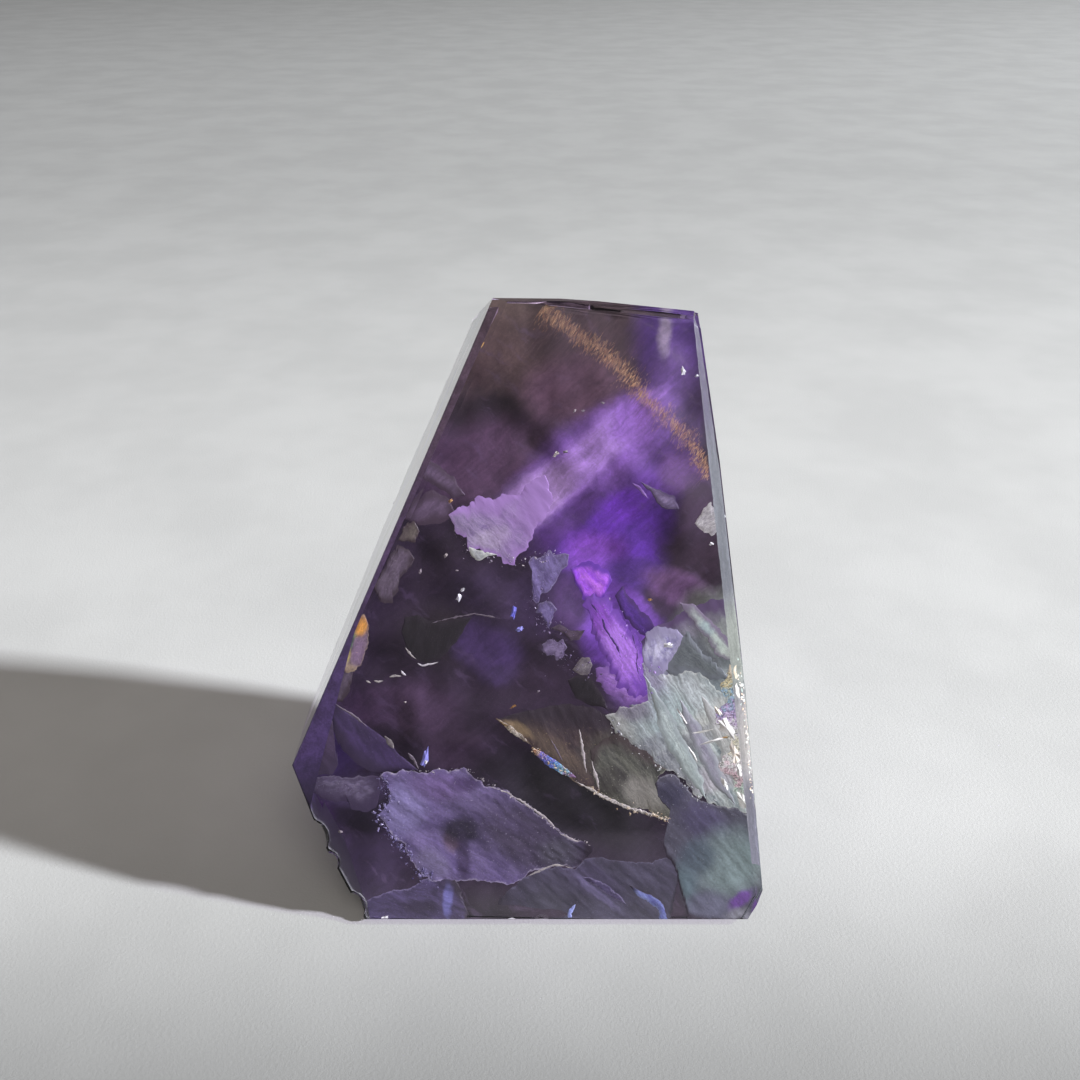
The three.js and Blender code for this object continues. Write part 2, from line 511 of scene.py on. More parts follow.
class Tree:
    """A material's node tree, with short calls for the nodes that the finishes share."""

    def __init__(self, name: str) -> None:
        """An empty tree with its output and the object's own coordinates."""
        self.material = bpy.data.materials.new(name)
        self.material.use_nodes = True
        self.nodes = self.material.node_tree.nodes
        self.links = self.material.node_tree.links
        self.nodes.clear()
        self.output = self.nodes.new("ShaderNodeOutputMaterial")
        self.here = self.node("TexCoord").outputs["Object"]

    def feed(self, into: Socket, value: object) -> None:
        """Links a socket into an input, or sets a plain value on it."""
        if isinstance(value, Socket):
            self.links.new(value, into)
        elif value is not None:
            into.default_value = value

    def node(self, kind: str, **inputs: object) -> bpy.types.Node:
        """A new node, with its inputs given by name and an underscore for each space.

        Args:
            kind: Its type, without the words that all shader nodes start with.
            inputs: A socket or a plain value for each input.

        Returns:
            The node.
        """
        node = self.nodes.new("ShaderNode" + kind)
        for name, value in inputs.items():
            self.feed(node.inputs[name.replace("_", " ")], value)
        return node

    def mapped(
        self, place: Sequence[float] = (0, 0, 0), turn: Matrix | None = None,
        size: Sequence[float] = (1, 1, 1), source: Socket | None = None,
    ) -> Socket:
        """Coordinates centred, turned and measured in a size of their own.

        Args:
            place: The new origin, in metres.
            turn: The new axes.
            size: The length of one step along each, in metres.
            source: The coordinates to start from, or None for the object's.

        Returns:
            The new coordinates.
        """
        turned = (turn or Matrix.Identity(3)).to_euler("XYZ")
        node = self.node("Mapping", Vector=source or self.here, Location=place, Rotation=turned, Scale=size)
        node.vector_type = "TEXTURE"
        return node.outputs["Vector"]

    def noise(self, vector: Socket, detail: float, rough: float = 0.6, colour: bool = False) -> Socket:
        """Fractal noise with lumps about one step wide, as a value or as a colour."""
        node = self.node("TexNoise", Vector=vector, Scale=1.0, Detail=detail, Roughness=rough)
        return node.outputs["Color" if colour else "Fac"]

    def grain(self, size: float, detail: float, rough: float = 0.6, source: Socket | None = None) -> Socket:
        """Fractal noise with even lumps of a size in millimetres."""
        return self.noise(self.mapped(size=(size * MM,) * 3, source=source), detail, rough)

    def span(
        self, value: Socket, low: float, high: float, to_low: float = 0.0, to_high: float = 1.0
    ) -> Socket:
        """A value eased from one range into another, and held there."""
        node = self.node("MapRange", Value=value, From_Min=low, From_Max=high, To_Min=to_low, To_Max=to_high)
        node.interpolation_type = "SMOOTHSTEP"
        return node.outputs["Result"]

    def fed(self, node: bpy.types.Node, *values: object, start: int = 0) -> bpy.types.Node:
        """A node whose inputs take values in their order, from a starting one on."""
        for number, value in enumerate(values, start):
            self.feed(node.inputs[number], value)
        return node

    def maths(self, operation: str, first: object, second: object) -> Socket:
        """One step of arithmetic."""
        node = self.node("Math")
        node.operation = operation
        return self.fed(node, first, second).outputs[0]

    def vector(self, operation: str, *values: object) -> bpy.types.Node:
        """One step of vector arithmetic, as its node."""
        node = self.node("VectorMath")
        node.operation = operation
        return self.fed(node, *values)

    def parts(self, vector: Socket) -> Sequence[Socket]:
        """A vector's three parts."""
        return self.node("SeparateXYZ", Vector=vector).outputs

    def mix(self, share: object, first: object, second: object, way: str = "MIX") -> Socket:
        """Two colours mixed by a share."""
        node = self.node("Mix")
        node.data_type = "RGBA"
        node.blend_type = way
        self.feed(node.inputs[0], share)
        return self.fed(node, first, second, start=6).outputs[2]

    def ramp(self, value: Socket, colours: Sequence[Colour]) -> Socket:
        """A run of colours, evenly spaced from 0 to 1."""
        node = self.node("ValToRGB", Fac=value)
        stops = node.color_ramp.elements
        while len(stops) < len(colours):
            stops.new(0.5)
        for number, colour in enumerate(colours):
            stops[number].position = number / (len(colours) - 1)
            stops[number].color = colour
        return node.outputs["Color"]

    def dulled(self, colour: object, value: Socket, least: float) -> Socket:
        """A colour darkened to a least share of itself where the value is 0."""
        return self.mix(1.0, colour, self.ramp(value, ((least,) * 3 + (1.0,), (1.0,) * 4)), "MULTIPLY")

    def varied(self, colour: object, value: Socket, low: float, high: float, least: float) -> Socket:
        """A colour times a least share where a value is low, and as much over 1 where it is high."""
        return self.mix(1.0, colour, self.span(value, low, high, least, 2 - least), "MULTIPLY")

    def bump(self, height: Socket, distance: float, strength: float = 1.0) -> Socket:
        """A normal bent by a height, whose full range is a distance in metres."""
        node = self.node("Bump", Strength=strength, Distance=distance, Height=height)
        return node.outputs["Normal"]

    def attribute(self, name: str) -> Socket:
        """A number kept on the mesh's points."""
        node = self.node("Attribute")
        node.attribute_name = name
        return node.outputs["Fac"]

    def warped(self, size: float, amount: float, source: Socket | None = None) -> Socket:
        """Coordinates pushed about by noise.

        Args:
            size: How wide the lumps are, in metres.
            amount: How far they push, in metres.
            source: The coordinates to start from, or None for the object's.

        Returns:
            The pushed coordinates.
        """
        cloud = self.noise(self.mapped(size=(size,) * 3, source=source), 3.0, colour=True)
        centred = self.vector("SUBTRACT", cloud, (0.5, 0.5, 0.5)).outputs[0]
        push = self.vector("SCALE", centred)
        push.inputs["Scale"].default_value = amount * 2
        return self.vector("ADD", source or self.here, push.outputs[0]).outputs[0]

    def finish(self, surface: Socket, volume: Socket | None = None) -> Material:
        """Links the shaders to the output and gives the material."""
        self.feed(self.output.inputs["Surface"], surface)
        self.feed(self.output.inputs["Volume"], volume)
        return self.material

    def skin(self, **inputs: object) -> Material:
        """The material of one opaque shader, with its inputs given as for a node."""
        return self.finish(self.node("BsdfPrincipled", **inputs).outputs[0])


@dataclass(frozen=True)
class StoneFinish:
    """The polished stone: clear, bending light as fluorite does, and faintly violet through its depth.

    through and thickness give what the stone takes out of light: a metre of it takes thickness
    times one less the colour. clear tints what its polish bends, and passing what goes straight
    through. Fine polishing lines and a little haze lie on its faces.
    """

    name: str = "polished_fluorite"
    bending: float = 1.434
    through: Triple = (0.60, 0.36, 0.80)
    thickness: float = 25.0
    clear: Colour = (0.98, 0.97, 1.0, 1.0)
    passing: Colour = (0.92, 0.9, 0.94, 1.0)
    haze: float = 0.05
    line_gap: float = 0.35 * MM
    line_depth: float = 0.0006 * MM
    line_run: float = 30.0
    line_lie: float = 42.0

    def material(self, face: PolishedFace) -> Material:
        """The stone's see-through material.

        Args:
            face: The polished face, along which the polishing lines run.

        Returns:
            The material. The light of the lamps and of the paper passes its surface unbent, so that it
            reaches the veils inside.
        """
        tree = Tree(self.name)
        gap = self.line_gap
        lines = tree.mapped(turn=face.turn(self.line_lie), size=(gap * self.line_run, gap, gap))
        glass = tree.node(
            "BsdfPrincipled", Base_Color=self.clear, IOR=self.bending, Transmission_Weight=1.0,
            Roughness=tree.span(tree.grain(6.0, 3.0), 0.35, 0.75, 0.0, self.haze),
            Normal=tree.bump(tree.noise(lines, 4.0), self.line_depth, 0.5),
        )
        passing = tree.node("BsdfTransparent", Color=self.passing)
        path = tree.node("LightPath").outputs
        stray = tree.maths("MAXIMUM", path["Is Shadow Ray"], path["Is Diffuse Ray"])
        both = tree.fed(tree.node("MixShader"), stray, glass.outputs[0], passing.outputs[0])
        inside = tree.node("VolumeAbsorption", Color=(*self.through, 1.0), Density=self.thickness)
        return tree.finish(both.outputs[0], inside.outputs[0])


@dataclass(frozen=True)
class Stone:
    """What the things inside need to know of the stone.

    light is how bright the light on the polished face is against the paper's, and way how many
    times longer than a veil's depth the light's way to it and out again is. snow is the brightest
    share of light that a thing may give back.
    """

    face: PolishedFace
    walls: Walls
    body: StoneFinish
    light: float = 1.2
    way: float = 2.6
    snow: float = 0.9

    def shown(self, tone: Tone, depth: float) -> Colour:
        """The colour that a thing needs to show as a tone: brighter by what the light loses.

        Args:
            tone: The tone to show.
            depth: How deep the thing lies under the polished face.

        Returns:
            The colour in linear light, held below that of snow.
        """
        way = depth * self.way * MM * self.body.thickness
        kept = [self.light * math.exp(-way * (1 - part)) for part in self.body.through]
        shares = [min(self.snow, part / share) for part, share in zip(linear(tone), kept)]
        return (shares[0], shares[1], shares[2], 1.0)


@dataclass(frozen=True)
class Zone:
    """A soft patch of colour in the stone: an oval seen at a place on the polished face.

    across and up give its middle, and long and wide its half lengths across and up the face before
    it rolls by lie degrees, in millimetres. edge is the share of the oval over which it fades.
    """

    across: float
    up: float
    long: float
    wide: float
    lie: float
    tone: Tone
    share: float = 1.0
    edge: float = 0.9

    def laid(self, tree: Tree, stone: Stone, depth: float, under: object, source: Socket) -> Socket:
        """The patch laid over what is there: its share falls from the middle to the oval's edge.

        Args:
            tree: The material's tree.
            stone: The stone round it.
            depth: How deep the patch is centred, in millimetres.
            under: The colour that it is laid over.
            source: The coordinates to read.

        Returns:
            The colour with the patch in it.
        """
        centre = stone.face.sink(np.array(self.across), np.array(self.up), depth) * MM
        size = (self.long * MM, self.wide * MM, ZONE_THICKNESS)
        local = tree.mapped(centre, stone.face.turn(self.lie), size, source)
        away = tree.vector("LENGTH", local).outputs["Value"]
        share = tree.span(away, 1.0 + self.edge / 2, 1.0 - self.edge / 2, 0.0, self.share)
        return tree.mix(share, under, stone.shown(self.tone, depth))


@dataclass(frozen=True)
class BandFinish:
    """Growth bands: the stone's tones change as it grew, in layers that cross the polished face.

    tones run across the layers from low to high, in millimetres from the face's lower edge, and lie
    is the way that the layers run on the face, in degrees from across. light is how bright the
    light on them is against the face's.
    """

    name: str
    tones: tuple[Tone, ...]
    low: float = -22.0
    high: float = 80.0
    lie: float = 38.0
    depth: float = 3.0
    wander: float = 2.6
    light: float = 1.0

    def material(self, stone: Stone) -> Material:
        """The bands' material: the run of tones by place, warped, then mottled and finely grained.

        Args:
            stone: The stone round them.

        Returns:
            The material.
        """
        tree = Tree(self.name)
        dim = replace(stone, light=stone.light * self.light)
        pushed = tree.warped(2.0 * MM, 0.5 * MM, tree.warped(9 * MM, self.wander * MM))
        start = stone.face.edge * MM
        across = tree.mapped(start, stone.face.turn(self.lie), (MM,) * 3, pushed)
        height = tree.maths("SUBTRACT", tree.parts(across)[1], self.low)
        share = tree.maths("DIVIDE", height, self.high - self.low)
        colour = tree.ramp(share, [dim.shown(tone, self.depth) for tone in self.tones])
        cloud = tree.grain(2.5, 6.0, 0.65, pushed)
        colour = tree.varied(colour, cloud, 0.3, 0.7, 0.7)
        colour = tree.varied(colour, tree.grain(0.35, 4.0, 0.75), 0.3, 0.72, 0.8)
        return tree.skin(Base_Color=colour, Roughness=0.55, Normal=tree.bump(cloud, 0.04 * MM))


@dataclass(frozen=True)
class VeilFinish:
    """The satin skin of a cleavage or fracture veil, mottled along its own grain.

    deep and pale are its hollows and where it catches light, and rim is its crumbled edge. grain is
    how wide the mottles are, in millimetres, streak how many times longer they are than wide, and
    lie which way they run on the polished face, in degrees from across. All tones are as they show
    at the depth that the veil lies at, and dusk is the tone that its fading sides go over into.
    specks is how strongly fine bright specks of the rim's tone stand out, soft how far the whole
    border goes over into dusk, and fibrous the least share that the fibres along the grain leave.
    """

    name: str
    deep: Tone
    pale: Tone
    rim: Tone
    depth: float = 3.0
    grain: float = 1.0
    streak: float = 1.0
    lie: float = 0.0
    contrast: float = 0.26
    rim_share: float = 0.4
    gloss: float = 0.5
    relief: float = 0.012
    zones: tuple[Zone, ...] = ()
    ragged: float = 0.8
    dusk: Tone = (40, 29, 46)
    specks: float = 0.35
    soft: float = 0.0
    fibrous: float = 0.78

    def material(self, stone: Stone) -> Material:
        """The veil's material: mottles, then its zones, then fine grain and the crumbled rim.

        Args:
            stone: The stone round it.

        Returns:
            The material.
        """
        tree = Tree(self.name)
        step = self.grain * MM
        pushed = tree.warped(3 * MM, self.ragged * MM)
        turn = stone.face.turn(self.lie)
        along = tree.mapped(turn=turn, size=(step * self.streak, step, step), source=pushed)
        mottle = tree.noise(along, 6.0, 0.62)
        thin = tree.mapped(turn=turn, size=(step * self.streak * 1.6, step * 0.3, step * 0.3), source=pushed)
        fibre = tree.noise(thin, 5.0, 0.6)
        share = tree.span(mottle, 0.5 - self.contrast, 0.5 + self.contrast)
        colour = tree.mix(share, stone.shown(self.deep, self.depth), stone.shown(self.pale, self.depth))
        for zone in self.zones:
            colour = zone.laid(tree, stone, self.depth, colour, pushed)
        fine = tree.grain(0.3, 4.0, 0.7)
        colour = tree.varied(colour, fibre, 0.32, 0.68, self.fibrous)
        colour = tree.varied(colour, fine, 0.25, 0.75, 0.85)
        specks = tree.span(tree.grain(0.24, 3.0, 0.6), 0.62, 0.72, 0.0, self.specks)
        colour = tree.mix(specks, colour, stone.shown(self.rim, self.depth))
        cloud = tree.maths("MULTIPLY", tree.grain(1.8, 5.0), 0.7)
        faded = tree.span(tree.maths("ADD", tree.attribute("fade"), cloud), 0.5, 1.15)
        crumble = tree.maths("MULTIPLY", tree.grain(0.7, 5.0, 0.75), 0.9)
        edge = tree.maths("ADD", tree.attribute("rim"), crumble)
        faded = tree.maths("MAXIMUM", faded, tree.span(edge, 0.7, 1.4, 0.0, self.soft))
        colour = tree.mix(faded, colour, stone.shown(self.dusk, self.depth))
        edge_share = tree.span(edge, 1.25, 1.42, 0.0, self.rim_share)
        kept = tree.maths("MULTIPLY", edge_share, tree.maths("SUBTRACT", 1.0, faded))
        colour = tree.mix(kept, colour, stone.shown(self.rim, self.depth))
        height = tree.maths("ADD", fibre, tree.maths("MULTIPLY", fine, 0.35))
        dullness = tree.span(fine, 0.2, 0.8, self.gloss - 0.1, self.gloss + 0.15)
        normal = tree.bump(height, self.relief * MM)
        return tree.skin(Base_Color=colour, Roughness=dullness, Normal=normal)


@dataclass(frozen=True)
class SheenFinish:
    """A film of painted sheen: a run of spectral tones, picked by place and broken by noise, stands for the
    play of light on it.

    The run starts at a place on the polished face and goes its size far along its lie.
    """

    name: str
    tones: tuple[Tone, ...]
    size: float = 3.0
    lie: float = 0.0
    at: Spot = (0.0, 0.0)
    shake: float = 0.5
    gloss: float = 0.3
    depth: float = 1.5

    def material(self, stone: Stone) -> Material:
        """The film's material.

        Args:
            stone: The stone round it.

        Returns:
            The material.
        """
        tree = Tree(self.name)
        start = stone.face.sink(np.array(self.at[0]), np.array(self.at[1]), self.depth) * MM
        along = tree.mapped(start, stone.face.turn(self.lie), (self.size * MM,) * 3)
        crumble = tree.grain(0.8, 5.0, 0.7)
        shaken = tree.maths("MULTIPLY", tree.maths("SUBTRACT", crumble, 0.5), self.shake * 2)
        tones = [stone.shown(tone, self.depth) for tone in self.tones]
        colour = tree.ramp(tree.maths("ADD", tree.parts(along)[0], shaken), tones)
        fine = tree.grain(0.3, 4.0, 0.8)
        colour = tree.dulled(colour, tree.span(fine, 0.35, 0.6), 0.2)
        dullness = tree.span(crumble, 0.3, 0.7, self.gloss - 0.1, self.gloss + 0.2)
        return tree.skin(Base_Color=colour, Roughness=dullness, Normal=tree.bump(fine, 0.15 * MM))


@dataclass(frozen=True)
class TintFinish:
    """The skin of many small things, each with its own tone from a run, broken by fine noise.

    shake is how far the noise moves the pick along the run, and gloss the range of its roughness.
    """

    name: str
    tones: tuple[Tone, ...]
    depth: float
    grain: float
    rough: float
    shake: float
    gloss: Spot

    def material(self, stone: Stone) -> Material:
        """The things' material.

        Args:
            stone: The stone round them.

        Returns:
            The material.
        """
        tree = Tree(self.name)
        fine = tree.grain(self.grain, 4.0, self.rough)
        pick = tree.maths("ADD", tree.attribute("tint"), tree.maths("MULTIPLY", fine, self.shake))
        tones = [stone.shown(tone, self.depth) for tone in self.tones]
        colour = tree.ramp(tree.maths("SUBTRACT", pick, self.shake / 2), tones)
        return tree.skin(Base_Color=colour, Roughness=tree.span(fine, 0.3, 0.7, *self.gloss))


@dataclass(frozen=True)
class PaperFinish:
    """The pale drawing paper that the stone stands on, with its fine tooth."""

    name: str = "pale_paper"
    tone: Tone = (188, 188, 188)
    tooth: float = 0.5

    def material(self) -> Material:
        """The paper's material: painted shadow makes it duller towards its front edge, and painted falloff of
        the light towards the back.
        """
        tree = Tree(self.name)
        cloud = tree.span(tree.grain(40.0, 3.0), 0.3, 0.7)
        low = tuple(part - 8 for part in self.tone)
        # painted shade: a painted shadow darkens the front edge, and a painted falloff of the light darkens
        # the back
        rearward = tree.parts(tree.here)[1]
        front = tree.span(rearward, -0.08, 0.0)
        back = tree.span(rearward, 0.5, -0.05)
        colour = tree.dulled(tree.mix(cloud, linear(low), linear(self.tone)), front, 0.3)
        normal = tree.bump(tree.grain(self.tooth, 5.0, 0.7), 0.06 * MM)
        return tree.skin(Base_Color=tree.dulled(colour, back, 0.68), Roughness=0.9, Normal=normal)


# -------------------- what lies in the stone


@dataclass(frozen=True)
class Veil:
    """A thin veil between two torn rails that meet at both ends.

    The rails are drawn on the polished face, from left to right, and lower leaves out the two ends,
    which are the upper rail's. depth gives how deep the veil lies at its left and at its right end,
    and tip how much deeper its upper rail lies than its lower. fade gives the share of the veil over
    which it fades, from its left, right, upper and lower side.
    """

    name: str
    finish: VeilFinish | SheenFinish
    upper: tuple[Spot, ...]
    lower: tuple[Spot, ...]
    depth: Spot = (3.0, 3.0)
    fade: tuple[float, float, float, float] = (0.0, 0.0, 0.0, 0.0)
    tip: float = 0.0
    bite: float = 0.22
    tooth: float = 1.1
    ripple: float = 0.06
    grain: float = 3.0
    inset: float = 0.3
    swell: float = 0.07

    def build(self, stone: Stone, seed: int) -> Piece:
        """Makes the veil's mesh.

        It lies on the plane that fits the depths of its ends and its tip best, and ripples by noise
        along the grain. It is thickest in its middle, and keeps inside the walls.

        Args:
            stone: The stone round it.
            seed: Picks its teeth and ripples.

        Returns:
            The object.
        """
        lower = (self.upper[0], *self.lower, self.upper[-1])
        grid = rail_grid(self.upper, lower, self.bite, self.tooth, seed)
        across, up, u, v = grid.across, grid.up, grid.u, grid.v
        asked = self.depth[0] * (1 - u) + self.depth[1] * u + self.tip * (1 - v)
        spots = np.stack((np.ones(across.size), across.ravel(), up.ravel()), axis=1)
        plane = np.linalg.lstsq(spots, asked.ravel(), rcond=None)[0]
        depth = (spots @ plane).reshape(across.shape)
        way = math.radians(self.finish.lie)
        run = (across * math.cos(way) + up * math.sin(way)) / (self.grain * 2.5)
        side = (up * math.cos(way) - across * math.sin(way)) / self.grain
        depth = depth + self.ripple * fractal(run, side, seed + 9)
        half = self.swell * grid.middle
        sunk = (stone.face.sink(across, up, depth + way * half) for way in (-1, 1))
        front, back = (stone.walls.hold(points, self.inset) for points in sunk)
        ways = zip((u, 1 - u, v, 1 - v), self.fade)
        fades = [1 - np.clip(way / width, 0, 1) for way, width in ways if width > 0]
        fade = np.maximum.reduce(np.broadcast_arrays(np.zeros(across.shape), *fades))
        return lens_object(self.name, front, back, {"rim": grid.rim, "fade": fade})


def ribbon(
    name: str, finish: VeilFinish | SheenFinish, path: Sequence[Spot], width: float, depth: Spot = (2.0, 2.0)
) -> Veil:
    """A narrow veil along a path: its rails lie half a width to each side and meet at its ends.

    Args:
        name: The piece's name.
        finish: Its finish.
        path: The path's corners, from left to right.
        width: Its greatest width.
        depth: How deep it lies at its left and its right end.

    Returns:
        The veil.
    """
    line = resampled(path, 9)
    swell = width / 2 * np.sin(np.linspace(0, math.pi, 9)) ** 0.6
    side = swell[:, None] * sideways(line)
    upper, lower = (tuple(map(tuple, line + way * side)) for way in (1, -1))
    look = dict(bite=0.12, tooth=0.6, ripple=0.05, grain=1.0, swell=min(0.05, width / 8))
    return Veil(name, finish, upper, lower[1:-1], depth, **look)


def strewn(path: Sequence[Spot], count: int, spread: float, size: Spot, seed: int) -> tuple[Flake, ...]:
    """Places for crumbs strewn along a torn edge, denser in clumps.

    Args:
        path: The edge's corners.
        count: How many crumbs to strew.
        spread: How far they lie to each side of the edge.
        size: The smallest and the greatest half length.
        seed: Picks the places.

    Returns:
        Each crumb's place, its half length, its half width and its lie.
    """
    dice = np.random.default_rng(seed)
    steps, clump = 400, 17.0
    line = resampled(path, steps)
    clumps = 0.5 + 0.5 * lattice_noise(np.arange(steps) / clump, 0.5, seed)
    pick = dice.choice(steps, count, p=clumps**2 / (clumps**2).sum())
    at = line[pick] + dice.normal(size=(count, 2)) * spread
    half = size[0] + (size[1] - size[0]) * dice.uniform(0.0, 1.0, count) ** 3
    thin = half * dice.uniform(0.35, 0.8, count)
    lie = dice.uniform(0.0, 180.0, count)
    return tuple(map(tuple, np.stack((at[:, 0], at[:, 1], half, thin, lie), axis=1)))


@dataclass(frozen=True)
class GrowthZones:
    """The stone's growth zones: one wavy sheet across its whole width that carries soft patches of
    colour, which fade into each other.

    The sheet goes from wall to wall and up to the crown, and towards the base it rises to its brim.
    """

    name: str = "growth_zones"
    zones: tuple[Zone, ...] = ()
    ground: Tone = (44, 31, 49)
    wisp: Tone = (112, 92, 128)
    depth: float = 6.5
    foot_depth: float = 2.0
    brim: float = 2.2
    rise: float = 8.0
    wave: float = 0.9
    wave_size: float = 14.0
    thickness: float = 0.15
    inset: float = 0.1
    columns: int = 140
    rows: int = 180
    lowest: float = 0.1
    highest: float = 75.0

    def build(self, stone: Stone) -> Piece:
        """Makes the sheet: rows up the face, each from wall to wall, waved by noise.

        Args:
            stone: The stone round it.

        Returns:
            The object.
        """
        face, walls = stone.face, stone.walls
        share = np.linspace(1, 0, self.rows)
        first = face.place(MIDDLE_RUN * self.highest, 60.0, self.depth)
        highest = first[2] + walls.room(first, face.up, self.inset)[0] * face.up[2]
        height = self.lowest + (highest - self.lowest) * share
        away = np.clip(height / self.rise, 0, 1)
        deep = self.depth + self.foot_depth * (1 - share)
        calm = self.brim + (deep - self.brim) * away**2 * (3 - 2 * away)
        middle = height * MIDDLE_RUN
        centres = face.place(middle, face.level(height, calm), calm)
        left, right = (walls.room(centres, np.array((way, 0, 0)), self.inset) for way in (-1, 1))
        across = middle - left + (left + right) * np.linspace(0, 1, self.columns)[:, None]
        under_crown = face.place(across[:, 0], 60.0, self.depth)
        crown = under_crown[:, 2] + walls.room(under_crown, face.up, self.inset) * face.up[2]
        height = height + (crown - highest)[:, None] * np.clip(share * 5 - 4, 0, 1)
        wave = self.wave * fractal(across / self.wave_size, height / self.wave_size, 71, 3)
        depth = calm + wave * np.minimum(calm / self.depth, 1.0)
        depths = (depth, depth + self.thickness)
        sides = (face.place(across, face.level(height, under), under) for under in depths)
        front, back = (walls.hold(points, self.inset) for points in sides)
        return lens_object(self.name, front, back, {}, pointed=False)

    def material(self, stone: Stone) -> Material:
        """The sheet's material: its ground, every zone laid over it in turn, clouds, fibres and wisps.

        Args:
            stone: The stone round it.

        Returns:
            The material.
        """
        tree = Tree(self.name)
        wide = tree.warped(7 * MM, 1.6 * MM)
        pushed = tree.warped(1.6 * MM, 0.45 * MM, wide)
        depth = self.depth + self.foot_depth / 2
        colour = stone.shown(self.ground, depth)
        for zone in self.zones:
            colour = zone.laid(tree, stone, depth, colour, pushed)
        cloud = tree.grain(2.2, 6.0, 0.65, pushed)
        colour = tree.varied(colour, cloud, 0.3, 0.7, 0.78)
        turn, size = stone.face.turn(42.0), (6 * MM, 0.7 * MM, 6 * MM)
        fibres = tree.noise(tree.mapped(turn=turn, size=size, source=wide), 5.0)
        colour = tree.varied(colour, fibres, 0.3, 0.7, 0.84)
        turn, size = stone.face.turn(-38.0), (5 * MM, 1.6 * MM, 5 * MM)
        threads = tree.noise(tree.mapped(turn=turn, size=size, source=pushed), 7.0)
        wisps = tree.span(threads, 0.55, 0.72, 0.0, 0.3)
        colour = tree.mix(wisps, colour, stone.shown(self.wisp, depth))
        colour = tree.varied(colour, tree.grain(0.35, 4.0, 0.75), 0.3, 0.72, 0.9)
        return tree.skin(Base_Color=colour, Roughness=0.6, Normal=tree.bump(cloud, 0.05 * MM))


class Side(Enum):
    """The sides of the stone that a growth sheet can lie inside of, each with the way towards it."""

    LEFT = (-1.0, 0.0, 0.0)
    RIGHT = (1.0, 0.0, 0.0)
    BACK = (0.0, 1.0, 0.0)


@dataclass(frozen=True)
class SideSheet:
    """A wavy sheet of banded growth, a little way inside one side of the stone.

    near is how deep behind the polished face it starts at the crown, and lean how much deeper it
    starts at the base. It may go back as far as its reach, and lies its inset inside the wall. It
    goes from the lowest to the highest of its heights over the floor.
    """

    name: str
    finish: BandFinish
    side: Side
    near: float
    inset: float = 2.0
    wave: float = 0.5
    reach: float = 99.0
    lean: float = 2.0
    columns: int = 90
    rows: int = 150
    lowest: float = 0.1
    highest: float = 77.2
    thickness: float = 0.15
    seed: int = 40

    def build(self, stone: Stone) -> Piece:
        """Makes the sheet.

        Its points start down the stone's middle behind the polished face, on one plane, and go
        towards the side until they are the inset and a wave of noise short of its wall.

        Args:
            stone: The stone round it.

        Returns:
            The object.
        """
        face, walls = stone.face, stone.walls
        height = np.linspace(self.lowest, self.highest, self.rows)
        near = self.near + self.lean * (1 - height / self.highest)
        start = face.place(height * MIDDLE_RUN, face.level(height, near), near)
        share = np.linspace(0, 1, self.columns)[:, None, None]
        if self.side is Side.BACK:
            ends = ((Side.LEFT, 1.5), (Side.RIGHT, 8.0))
            left, right = (walls.room(start, np.array(side.value), inset) for side, inset in ends)
            offset = (left + right)[:, None] * share - left[:, None]
            starts = start + offset * np.array(Side.RIGHT.value)
        else:
            rear = np.array(Side.BACK.value)
            length = np.minimum(walls.room(start, rear, 0.6), self.reach)
            starts = start + share * length[:, None] * rear
        way = np.array(self.side.value)
        room = walls.room(starts.reshape(-1, 3), way, 0.0).reshape(starts.shape[:2])
        wave = self.wave * fractal((starts[..., 0] + starts[..., 1]) / 9, starts[..., 2] / 9, self.seed, 3)
        reach = np.maximum(room - self.inset - wave, 0.2)[..., None]
        front, back = (starts + (reach - thick) * way for thick in (0.0, self.thickness))
        if self.side is Side.RIGHT:
            front, back = front[:, ::-1], back[:, ::-1]
        return lens_object(self.name, walls.hold(front, 0.15), walls.hold(back, 0.35), {}, pointed=False)


